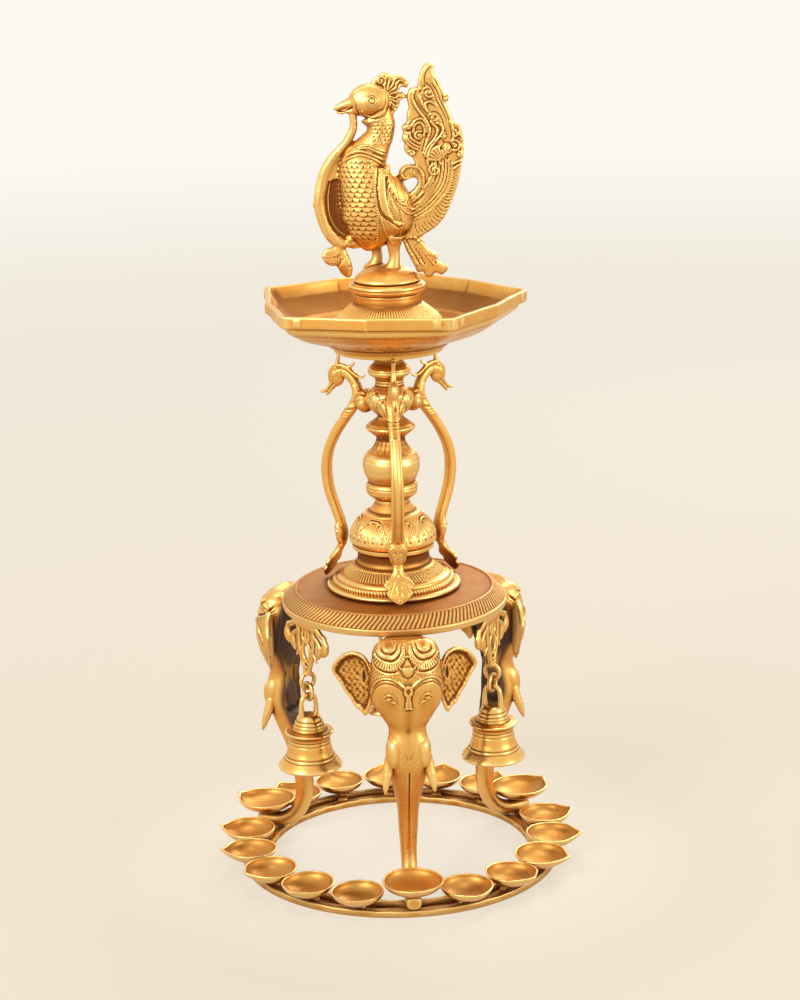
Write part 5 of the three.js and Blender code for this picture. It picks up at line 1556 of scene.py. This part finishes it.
def hatched(sheet, path, length, gap, slant, height, width=0.8, both=False):
    """Short strokes side by side along a path, leaning by slant degrees from it."""
    places = spaced(np.column_stack([path, np.gradient(path, axis=0)]), gap)
    turn = np.arctan2(places[:, 3], places[:, 2]) + math.radians(slant)
    step = np.stack([np.cos(turn), np.sin(turn)], 1) * length
    for (px, pz), (sx, sz) in zip(places[:, :2], step):
        sheet.stroke([(px - (sx if both else 0), pz - (sz if both else 0)), (px + sx, pz + sz)],
                     width, height)


def arc_of(x, z, across, up, start, stop, count):
    """Points along an ellipse's arc between two angles in radians."""
    return [(x + across * math.cos(a), z + up * math.sin(a)) for a in np.linspace(start, stop, count)]


def chase_tail(sheet):
    """The tail's ribs, comb, shell fan and scrolls, and the feathers under it."""
    x, z = sheet.across, sheet.up
    for offset, height, width in ((-13.4, 0.5, 1.5), (-11.2, 0.85, 1.9), (-8.4, 0.6, 1.6), (-6.3, 0.8, 1.7),
                                  (-3.6, 0.6, 1.5), (-1.4, 0.8, 1.6), (0.6, 0.45, 1.1)):
        line = along_tail(offset)
        sheet.stroke(line[8 if offset < -10 else 2:], width, height)
    for offset in (-9.8, -7.3, -4.9, -2.5):
        sheet.stroke(along_tail(offset)[4:], 0.8, -0.55)
    sheet.dots(spaced(along_tail(-0.4)[4:], 1.7), 0.6, -0.5)
    rim = flowing([(24, 34.6), (31.4, 37.2), (38, 41.2), (43.6, 46.8), (48, 54.2), (51.4, 62), (54.2, 70),
                   (56.4, 78.4), (58.2, 87.6), (59.6, 96.4)], 8)
    inner = along_tail(1.6)
    for i, start in enumerate(spaced(inner, 2.15)):
        share = i / 24
        end = rim[min(int(share * (len(rim) - 1) + 2), len(rim) - 1)]
        middle = (start + end) / 2 + (end - start)[::-1] * (0.16, -0.16)
        stroke = flowing([start, middle, end], 4)
        sheet.stroke(stroke, 1.3, 0.75)
        sheet.stroke(stroke + (0.5, -0.85), 0.6, -0.5)
    hook = [(24.9, 60.6), (28, 64.4), (30, 69.6), (30.7, 75), (29.2, 80), (25.8, 83), (21.2, 83.8),
            (17.2, 82.4), (14.8, 78.8), (16.4, 75.4), (20.2, 75)]
    sheet.stroke(flowing(hook, 7), 1.4, 0.9)
    hook_inner = [(25.2, 62.7), (28.5, 66.5), (29.4, 71.8), (28.2, 77), (25.8, 80.2), (22.6, 81.2),
                  (19.6, 79.6)]
    sheet.stroke(flowing(hook_inner, 7), 0.8, -0.5)
    hatched(sheet,
            flowing([(21.2, 78.8), (23.6, 80.2), (26.3, 78.8), (28.3, 75.8), (29.0, 72.0), (28.4, 67.4)], 6),
                   1.9, 1.35, -90, 0.55, 0.9, True)
    hatched(sheet, flowing([(35.2, 75.6), (36.4, 72.2), (35.6, 68.3), (33.5, 64), (31.3, 60.1), (28, 56.3)],
                           6),
                   1.5, 1.6, -90, 0.6, 1.0, True)
    fan = np.hypot(x - fan_x, z - fan_z)
    ray = np.arctan2(z - fan_z, x - fan_x)
    on_fan = between(fan, 3.2, 10.8, 0.4) * between(ray, 1.15, 3.4, 0.05)
    sheet.height = np.where(on_fan > 0.4, 0.2 + 0.85 * lobes(ray * 24 / (2 * np.pi) + 0.2, 0.6), sheet.height)
    sheet.stroke(arc_of(fan_x, fan_z, 11.6, 11.6, 1.1, 3.4, 22), 1.2, 0.9)
    sheet.stroke(arc_of(fan_x, fan_z, 2.9, 2.9, 0.2, 4.1, 14), 1.2, 1.1)
    for where in ((38.8, 80.6, 4.4, 100, 1.4, 1), (36.0, 136.0, 4.6, 150, 1.5, -1),
                  (39.4, 118.6, 4.2, 160, 1.4, -1), (53.6, 97.6, 4.6, 120, 1.5, -1),
                  (48.7, 94.8, 2.6, 90, 1.2, -1), (49.2, 131.9, 3.2, 200, 1.4, -1),
                  (45.8, 105.2, 2.4, 60, 1.2, 1), (57.0, 91.6, 2.2, 100, 1.2, -1),
                  (28.0, 105.6, 3.4, 60, 1.3, 1), (22.6, 93.0, 2.4, 150, 1.2, -1),
                  (20.6, 111.6, 2.2, 200, 1.2, -1)):
        sheet.stroke(curl(*where), 1.25, 1.0)
        sheet.dots([where[:2]], 1.0, 0.9)
    ridges(sheet, [
        [(29.5, 143.0), (29.3, 148.0), (30.8, 152.9), (33.4, 156.0), (35.9, 157.0)],
        [(30.8, 91.3), (33.2, 97.2), (37.4, 102.6), (41.7, 107.6), (42.9, 111.7), (40.9, 114.9),
         (38.6, 115.9)],
        [(29.4, 92.3), (31.8, 98.6), (36.1, 103.6), (38.5, 108.1), (38.5, 111.8), (36.3, 114.6),
         (34.5, 116.9)],
        [(28.5, 95.0), (30.5, 101.9), (32.9, 107.8), (33.0, 112.8), (30.8, 117.9), (26.8, 123.5),
         (23.2, 129.0), (21.7, 133.6), (22.5, 138.1), (24.6, 141.0)],
        [(26.6, 135.8), (27.9, 130.7), (30.1, 127.0), (32.3, 123.8)],
        [(31.0, 126.1), (30.8, 129.8), (33.8, 131.1), (37.0, 129.6), (41.1, 125.9), (43.1, 121.7)],
        [(20.6, 113.6), (23.0, 117.6), (27.2, 119.1), (30.1, 116.6), (31.4, 112.4), (31.3, 107.8)],
        [(21.5, 109.4), (22.5, 114.2), (26.2, 116.4), (28.9, 114.3), (29.8, 110.2), (29.0, 106.5)],
        [(17.3, 109.1), (17.4, 104.5), (20.8, 101.2), (24.7, 98.8)],
        [(18.9, 109.5), (19.5, 105.4), (22.7, 103.0), (25.9, 101.1)],
        [(15.9, 106.4), (16.7, 102.2), (20.3, 98.9), (24.0, 97.0)],
        [(16.9, 113.7), (20.2, 114.5), (22.5, 117.6)],
        [(52.4, 116.0), (54.2, 113.7), (55.0, 109.6), (53.2, 107.8), (51.8, 110.6)],
        [(51.8, 106.0), (54.5, 107.3), (56.4, 105.4), (56.3, 102.7)],
        [(49.7, 86.1), (53.2, 87.9), (56.0, 87.9)], [(50.2, 82.7), (53.6, 85.0), (56.2, 85.4)],
        [(47.6, 120), (49.6, 113), (50.4, 106), (49.0, 101)],
    ], 1.4, 0.95)
    ridges(sheet, [
        [(31.8, 144.3), (35.4, 141.0), (37.6, 136.0), (38.9, 131.4), (42.4, 124.9), (45.5, 117.6)],
        [(35.4, 144.2), (39.0, 138.7), (41.2, 132.7), (44.3, 125.8), (47.4, 117.5)],
        [(37.3, 147.3), (40.9, 140.9), (43.1, 134.9), (43.7, 130.8)],
        [(35.1, 123.7), (38.7, 123.2), (41.4, 120.4), (43.4, 114.9)],
        [(27.2, 95.1), (29.1, 101.5), (31.1, 107.8)],
        [(41.0, 97.6), (44.6, 101.6), (47.4, 101.0), (49.6, 97.2)],
    ], 0.9, -0.7)
    hatched(sheet, flowing([(26.2, 136.6), (27.4, 131.4), (29.8, 127.6), (32.4, 124.6)], 7), 2.6, 1.5, 100,
            0.5, 0.8)
    sheet.dots([(48.3, 88.9), (40.3, 118.8), (45.6, 100.9), (29.9, 137.3)], 1.1, -0.9)
    flame = np.clip(1 - np.hypot((x - 36.6) / 5.2, (z - 148) / 10), 0, 1)
    sheet.height += 0.9 * flame
    for line in (
            [(17.3, 30.9), (24.3, 18.6), (27.6, 8)], [(20.3, 32.1), (29.2, 22.1), (34.6, 13.4), (35.6, 5.4)],
            [(23.3, 32.0), (32.9, 24.5), (41.6, 10.8)], [(15.4, 29.8), (21.8, 16.2), (24, 7)],
            [(25.7, 29.5), (35.2, 22.0), (37.6, 18)]):
        sheet.stroke(flowing(line, 6), 1.9, 0.8)
        sheet.stroke(flowing(line, 6) + (1.5, 0.3), 0.8, -0.6)


def chase_garland(sheet):
    """The garland's herringbone and edges, its tip, and the wheel at its foot."""
    strap = flowing([(-20.6, 126), (-18.9, 118), (-19.6, 110.6), (-24, 102.2), (-29.2, 96), (-34.6, 90),
                     (-39.4, 82), (-42.4, 73), (-44.4, 63), (-44, 54), (-41.4, 45), (-37.4, 37.4),
                     (-32, 31), (-25.4, 25.6)], 8)
    sheet.stroke(strap, 0.8, -0.4)
    hatched(sheet, strap, 1.7, 1.5, 52, 0.4, 0.75)
    hatched(sheet, strap, 1.7, 1.5, -52, 0.4, 0.75)
    ridges(sheet, [[(-34.7, 96.0), (-40.2, 89.0), (-44.1, 82.3), (-46.3, 75.3), (-47.6, 67.2), (-49.4, 60.2),
                    (-49.6, 54.7), (-47.4, 47.1), (-45.2, 38.8), (-42.6, 31.8)],
                   [(-39.4, 76.4), (-40.8, 68.9), (-41.7, 61.4), (-41.3, 53.2), (-39.3, 45.6), (-35.1, 39.2),
                    (-30.2, 35.6)],
                   [(-26.2, 21.9), (-30.6, 19.5), (-33.3, 14.4), (-32.8, 9.3), (-29.1, 6.1)],
                   [(-33.8, 19.5), (-36.5, 14.5), (-35.0, 8.8), (-31.7, 5.6)],
                   [(-27.2, 19.4), (-29.5, 15.0), (-29.0, 8.6)]], 1.2, 0.6)
    for size in (2.3, 4.5, 6.4):
        arc = arc_of(wheel_x, wheel_z, size, size * 0.96, -3.3, 0.5, 20)
        sheet.stroke(arc, 1.1, 0.6)
        sheet.stroke(np.array(arc) + (0, -1.1), 0.6, -0.4)


def chase_wing(sheet):
    """The wing and its feathers, the stippled rump and thigh, and the beaded seam behind the breast."""
    x, z = sheet.across, sheet.up
    wing = flowing(np.array([
        (-3.6, 84.6), (-5.0, 71.2), (-4.3, 61.1), (-2.0, 52.3), (4.6, 46.5), (11.8, 41.8), (9.4, 57),
        (7.4, 69), (4.6, 78.6), (1.4, 84)]) + chase_shift, 6)
    inside = np.zeros(x.shape, bool)
    for (ax, az), (bx, bz) in zip(wing, np.roll(wing, -1, 0)):
        crosses = (az > z) != (bz > z)
        inside ^= crosses & (x < (bx - ax) * (z - az) / (bz - az + 1e-12) + ax)
    sheet.height += 0.9 * inside
    sheet.stroke(wing, 1.3, 1.3)
    sheet.stroke(wing[:32] + (-1.2, 0), 0.8, -0.6)
    quill = flowing([(-1.4, 80.6), (-2.4, 71.1), (-1.5, 60.6), (0.6, 52.4)], 6) + chase_shift
    hatched(sheet, quill, 2.5, 1.4, 62, 0.5, 0.7)
    for share in (0.15, 0.3, 0.45, 0.6, 0.75, 0.9):
        feather = flowing([(0.6 + 3.4 * share, 80 - 2 * share), (0.2 + 7 * share, 68),
                           (2.6 + 7.4 * share, 56), (5.6 + 6.4 * share, 47 - 1.6 * share)], 6) + chase_shift
        sheet.stroke(feather[int(12 * share):], 0.9, -0.55)
    ridges(sheet, [[(7.2, 65.9), (10.5, 60.2), (13.6, 58.8), (15.6, 61.9), (15.1, 66.3)],
                   [(11.1, 57.0), (14.8, 52.5), (19.1, 50.5)], [(14.9, 58.2), (17.3, 55.0), (21.1, 54.3)]],
                   1.3, 0.7)
    rump = (x > 11) & (x < 26) & (z > 43) & (z < 62 - (x - 12) * 0.2) & ~inside
    sheet.height += np.where(rump, 0.3 * np.sin((x * 0.55 + z) * 4.2) * np.sin(x * 1.1), 0)
    ridges(sheet, [[(-3.8, 49.8), (-1.2, 39.7), (3.0, 32.0), (4.8, 29.4)],
                   [(11.4, 41.9), (10.0, 36.2), (9.6, 31.2)]], 1.1, 0.6)
    thigh = (z < 47) & (z > 30) & (x > 1.5 - (z - 30) * 0.2) & (x < 13.4)
    sheet.height += np.where(thigh, 0.2 * np.sin(x * 3.7 + z) * np.sin(z * 3.9), 0)
    seam = flowing(np.array([
        (-6.1, 83.7), (-5.8, 69.9), (-5.1, 61.2), (-4.5, 52.3), (-4.7, 42.9), (-5.4, 30.6)]) + chase_shift, 6)
    sheet.stroke(seam + (-0.6, 0), 1.0, -0.9)
    sheet.dots(spaced(seam + (-1.7, 0), 1.9), 0.8, 0.75)


def chase_head(sheet):
    """The collar, the eye, the lines round the beak, the crest's curls and the beads down the nape."""
    ridges(sheet, [[(-29.8, 90.7), (-25.6, 95.2), (-18.4, 97.5), (-11.4, 96.1), (-5.4, 93.2), (2.1, 89.0)],
                   [(-22.5, 96.1), (-16.4, 99.4), (-10.3, 99.3), (-3.8, 96.0), (3.3, 93.0)],
                   [(-32.5, 88.0), (-24.9, 92.8), (-16.1, 94.8), (-7.5, 91.8), (-0.7, 86.7)]], 1.4, 0.8)
    ridges(sheet, [[(-24, 97), (-16.4, 101), (-10.3, 101.2), (-3.8, 98.2), (4.4, 95.2)]], 0.9, 0.45)
    for size, height in ((1.1, 0.9), (2.9, 0.55), (4.5, 0.5)):
        sheet.stroke(arc_of(eye_x, eye_z, size, size, 0, 2 * math.pi, 30), 1.1, height)
    sheet.dots([(eye_x, eye_z)], 1.3, 0.9)
    ridges(sheet, [[(-14.7, 125.7), (-12.2, 122.6), (-7.7, 121.2), (-2.6, 122.4), (1.0, 125.8), (3.1, 130.3),
                    (3.0, 135.3)],
                   [(-10.6, 117.8), (-5.8, 118.7), (-0.7, 120.6), (3.5, 125.0), (5.4, 130.2)]], 1.4, 0.85)
    ridges(sheet, [[(-9.4, 120.2), (-4.8, 120.4), (1.2, 122.6), (4.4, 128.0)]], 0.8, -0.5)
    ridges(sheet, [[(-23.4, 137.4), (-19.3, 140.0), (-15.2, 142.2), (-7.7, 142.8), (-0.2, 140.4)]], 1.3, 0.5)
    ridges(sheet, [[(-21.5, 135.9), (-19.3, 131.3), (-18.7, 126.8), (-17.5, 122.5)]], 1.3, -0.9)
    ridges(sheet, [[(-20.4, 136.4), (-18.0, 131.6), (-17.2, 127.2)]], 1.1, 0.5)
    ridges(sheet, [[(-33.6, 125.6), (-28.8, 125.3), (-24.8, 126.4), (-21.6, 128.6)]], 1.0, -0.9)
    sheet.stroke(curl(2.0, 145.4, 3.6, -60, 1.4), 1.1, 0.8)
    ridges(sheet, [
        [(1.8, 140.3), (2.7, 147.3), (4.2, 150.7)], [(3.8, 140.3), (5.4, 146.2)],
        [(5.3, 138.7), (9.4, 141.1), (11.0, 145.1), (14.1, 146.5), (17.6, 143.8)],
        [(4.8, 140.2), (7.9, 143.7), (9.5, 147.4), (13.1, 148.4), (17.2, 146.5)],
        [(6.3, 137.2), (10.9, 138.6), (13.0, 142.5), (15.6, 143.2)],
        [(4.7, 135.7), (8.7, 134.1), (12.3, 135.6), (14.8, 135.0), (13.2, 132.9), (10.7, 132.8)],
        [(5.2, 133.7), (9.2, 131.6), (12.2, 131.1)], [(6.2, 131.2), (8.6, 128.6), (11.1, 128.1)],
        [(6.6, 128.7), (8.6, 126.1), (10.0, 125.6)]], 1.15, 0.8)
    back = flowing(np.array([
        (8.1, 117.6), (7.7, 112.1), (6.8, 106.1), (5.2, 100.0), (2.8, 93.5)]) + (1.9, -1.2), 6)
    sheet.dots(spaced(back, 1.9), 0.8, 0.6)


def bird_sheet():
    """The chasing on the bird's sides, in X and height over the mound's foot."""
    sheet = Sheet(-54, 64, -1, 160, 0.2)
    for chase in (chase_tail, chase_garland, chase_wing, chase_head):
        chase(sheet)
    return sheet


def scales(around, up, wide, tall):
    """Overlapping round-ended scales in staggered rows: each rises towards its lower edge, which is an
    arc, and the next row shows under it."""
    row = np.floor(up / tall)
    part = up / tall - row

    def arc(row_number):
        """How far up a row's scales reach at their sides, as a share of the row, 0 at their middle."""
        off = (around / wide + 0.5 * (row_number % 2)) % 1 - 0.5
        return 1 - np.sqrt(np.clip(1 - (2 * off) ** 2, 0, 1))

    here = part - arc(row)
    below = part + 1 - arc(row - 1)
    inward = np.where(here >= 0, here, below)
    return np.clip(1 - inward / 1.25, 0, 1) - 0.9 * (np.abs(inward) < 0.13)


def bird_shape():
    """The casting: body, head, beak, crest, garland, tail, legs and mound, fused, then chased."""
    parts = [
        limb(bird_spine, 52, 8), ball((-5.4, 0, 131.2), (16.6, 9.2, 12.6), 44, 26),
        ball((-6.6, 0, 130.2), (12.6, 10.0, 10.6), 40, 22),
        limb([(-15, 129.6, 6.2, 5), (-21, 129.6, 4.2, 4.2), (-27, 128.0, 2.7, 3.4), (-31.2, 125.8, 1.6, 2.2),
              (-32.2, 124.8, 0.7, 1.0)], 28, 7),
        limb([(-14.6, 124.8, 4.4, 4.4), (-21, 124.6, 2.2, 3.3), (-27, 123.2, 1.5, 2.6),
              (-30.4, 122.6, 0.7, 1.4)], 24, 7),
        plate(crest_outline, 6.0, 4), plate(tail_outline, 9, 4), plate(lower_tail, 8, 4),
        limb([(-20, 124, 2.3, 2.6), (-18.8, 118, 2.8, 2.9), (-19.4, 110.6, 3.0, 2.9), (-24, 102, 3.2, 3),
              (-29.4, 96, 3.5, 3.1), (-35, 89.6, 3.9, 3.3), (-40, 81, 4.4, 3.4), (-43, 72, 4.4, 3.4),
              (-45.2, 63, 4.2, 3.4), (-45.2, 54, 4.1, 3.4), (-43.2, 44.6, 4.1, 3.4), (-39.4, 36.4, 4.3, 3.4),
              (-33.8, 30, 4.6, 3.4), (-28, 26.4, 4.6, 3.4)], 30, 7, 0.85),
        plate([(-41, 84), (-31, 91.6), (-26, 88), (-24.6, 78), (-27.6, 70.6), (-31.4, 75.4), (-40, 74)], 5,
              4),
        # A thin sheet that fills the shaded gap between the garland and the breast; it is darkened later as
        # painted shade.
        plate([(-35, 88), (-27, 81), (-26, 70), (-27, 60), (-27, 50), (-24.4, 40), (-22, 33), (-31, 31),
               (-37, 37), (-41.6, 46), (-43.4, 58), (-41, 70), (-38, 80)], 2.4, 4),
        plate(arc_of(wheel_x, wheel_z, 7, 6.8, 0, 2 * math.pi, 17)[:-1], 6.4, 3, 1.6),
        limb([(-33, 26, 4.6, 3), (-31.6, 19, 5.8, 3.3), (-30.2, 11.4, 5.6, 3.3), (-28.4, 5.6, 3.6, 2.4),
              (-27.6, 3.2, 1.2, 1)], 30, 7),
        ball((-23.4, 0, 31.6), (4.0, 4.2, 4.0), 26, 16), ball((-48.4, 0, 57.2), (2.3, 2.6, 2.3), 20, 12),
        limb([(-27, 29, 3.4, 3.2), (-21, 28.6, 4.6, 3.6), (-15, 31, 4, 4)], 24, 6),
    ]
    for side in (-1, 1):
        parts.append(ball((4.3, side * 6.4, 82.6), (2.7, 2.2, 2.7), 20, 12))
        near_leg = [(8, 34, 7.4, 6.4), (7.6, 26, 4.8, 4.6), (7.4, 19, 3.9, 4.0), (5.6, 12.6, 4.6, 4.8),
                    (2.4, 7.4, 6.8, 5.8), (-1, 4.4, 8.4, 6.4)]
        far_leg = [(-7, 33, 7.4, 6.4), (-5.4, 24.4, 4.4, 4.4), (-5.4, 18, 3.9, 4.0), (-7.4, 12.4, 4.6, 4.8),
                   (-10.4, 8, 6.2, 5.6), (-13.4, 5, 6.4, 5.6)]
        parts.append(limb(near_leg if side < 0 else far_leg, 28, 7, 1.0, 6.2 * side))
    turn = np.linspace(0, 2 * np.pi, 72, endpoint=False)[None, :]
    mound = rounded([(0.6, 0.1), (24.3, 0.1), (24.5, 1.9), (20.6, 6.2), (14.8, 9.6), (8, 11.6), (0.6, 12)],
                    [0.3, 0.6, 1, 2.4, 2.4, 2, 0.3], 1.6)
    parts.append(skin(np.stack(np.broadcast_arrays(
        mound[:, :1] * np.cos(turn), mound[:, :1] * np.sin(turn), mound[:, 1:]), -1)))
    points, quads, fans = fused(parts, 0.69, 2)
    normal = normals_of(points, quads, fans)
    x, y, z = points.T
    facing = np.clip(np.abs(normal[:, 1]) * 1.8 - 0.35, 0, 1)
    raised = 1.2 * bird_sheet().at(x, z) * facing
    raised = np.where(z < 11.5, 0, raised)
    centre = np.interp(z, bird_spine[::-1, 1], bird_spine[::-1, 0])
    deep = np.interp(z, bird_spine[::-1, 1], bird_spine[::-1, 2])
    wide = np.interp(z, bird_spine[::-1, 1], bird_spine[::-1, 3])
    round_body = np.hypot((x - centre) / deep, y / wide)
    skin_only = np.clip((1.13 - round_body) / 0.06, 0, 1)
    around = np.arctan2(y / wide, -(x - centre) / deep)
    seam_x = np.interp(z, [29.4, 41.7, 51.1, 60, 68.7, 82.5], [-2.8, -2.1, -1.9, -2.5, -3.2, -3.5])
    top = np.interp(x, [-31, -23, -14, -5, 1], [85.4, 90.6, 92.6, 89.8, 84.6])
    breast = skin_only * np.clip((seam_x - 2.2 - x) / 0.8, 0, 1) * np.clip((top - z) / 1.2, 0, 1) * np.clip(
        (z - 27.5) / 1.5, 0, 1)
    raised = raised * (1 - breast) + breast * (0.75 * scales(around * 17.6, z, 4.6, 3.5) - 0.1)
    neck = skin_only * np.clip((z - 99.5) / 1.5, 0, 1) * np.clip((118.5 - z) / 1.5, 0, 1) * np.clip(
        (x + 9) / 4, 0, 1) * (np.abs(around) > 0.9)
    raised = raised * (1 - neck) + neck * 0.6 * scales(around * 9.4, z, 3.3, 2.7)
    points = points + normal * raised[:, None]
    points = points + normal * (0.06 * wave_noise(points, 13, 77))[:, None]
    points[:, 2] = np.maximum(points[:, 2], 0.1)
    points[:, 0] -= np.clip((points[:, 2] - 10) / 12, 0, 1) * (1.8 + 0.008 * points[:, 2])
    turned_x = points[:, 0] * math.cos(bird_turn) - points[:, 1] * math.sin(bird_turn)
    turned_y = points[:, 0] * math.sin(bird_turn) + points[:, 1] * math.cos(bird_turn)
    # The sheet between the garland and the breast is marked for painted shade.
    within = np.interp(z, [33, 46, 58, 70, 84], [-36.4, -40, -41.6, -39.4, -34])
    web_shade = 0.85 * (x > within) * (x < centre - deep) * (np.abs(y) < 2.2) * (z > 34) * (z < 84)
    return (np.stack([turned_x, turned_y, points[:, 2] + mound_foot], 1), quads, fans), web_shade


bird, bird_web_shade = bird_shape()
cast("peacock_casting", bird, "stand", ["peacock"], bird_finish, painted_shade=bird_web_shade)

# Fixings
# Plain turned brass that hardly shows: the rod through the stem with a washer and nut under the platform,
# and a round-headed slotted screw through each elephant's head into the platform.
fixing_finish = brass_finish("fixing_brass", Roughness=0.4, Mottle=0.5, Skin=0.15, Bright=(0.66, 0.34, 0.08))


def turned_fixing(name, corners, node_name, columns=64, relief=None, place=None, closed=False, flats=0):
    """A fixing from its profile of (radius, height), going up its outside, moved to its place. With
    flats, the blank is cut back to six of them at that distance from its axis."""
    profile = rounded(corners, 0.35, 1.2, closed=closed)
    points, quads, fans = skin(turned(profile, columns, relief, closed=closed, wobble=0), closed=closed)
    if flats:
        turn = np.arctan2(points[:, 1], points[:, 0])
        reach = flats / np.cos((turn + math.pi / 6) % (math.pi / 3) - math.pi / 6)
        points[:, :2] *= np.minimum(1, reach / np.hypot(points[:, 0], points[:, 1]))[:, None]
    if place is not None:
        radius, azimuth = place
        points = at_azimuth(points + (radius, 0, 0), azimuth)
    cast(name, (points, quads, fans), "stand", [node_name], fixing_finish)


rod_low, rod_high = (corner.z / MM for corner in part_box("tie_rod"))
washer_low, washer_high = (corner.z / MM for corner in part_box("tie_washer"))
rod_radius = 4
washer_bore, washer_radius = 4.25, 11
nut_bore, nut_radius = 4.1, 7.5
screw_place = 73.95
nut_low, nut_high = (corner.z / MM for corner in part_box("tie_nut"))
turned_fixing("stem_rod", [(0.2, rod_low), (rod_radius, rod_low), (rod_radius, rod_high), (0.2, rod_high)],
              "tie_rod", 48)
turned_fixing("rod_washer", [
    (washer_bore, washer_low), (washer_radius, washer_low), (washer_radius, washer_high),
    (washer_bore, washer_high)], "tie_washer", closed=True)
turned_fixing("rod_nut", [
    (nut_bore, nut_low), (nut_radius, nut_low), (nut_radius, nut_high), (nut_bore, nut_high)], "tie_nut", 96,
    closed=True, flats=nut_radius * math.cos(math.pi / 6))
screw_low, screw_high = (corner.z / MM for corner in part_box("leg_screw_1"))


def driver_slot(radius, height, angle):
    """The driver's slot across the screw's domed head."""
    across = np.abs(radius * np.sin(angle))
    return -0.9 * np.clip((0.75 - across) / 0.2, 0, 1) * (height < screw_low + 1.0) * (radius > 0.25)


for number, azimuth in enumerate(trunk_azimuths, 1):
    turned_fixing(f"leg_bolt_{number}", [
        (0.2, screw_low + 0.02), (2.2, screw_low + 0.1), (3.9, screw_low + 0.9), (4.5, screw_low + 2),
        (4.5, screw_low + 3), (2.5, screw_low + 3), (2.5, screw_high), (0.2, screw_high)],
        f"leg_screw_{number}", 96, driver_slot, (screw_place, azimuth))
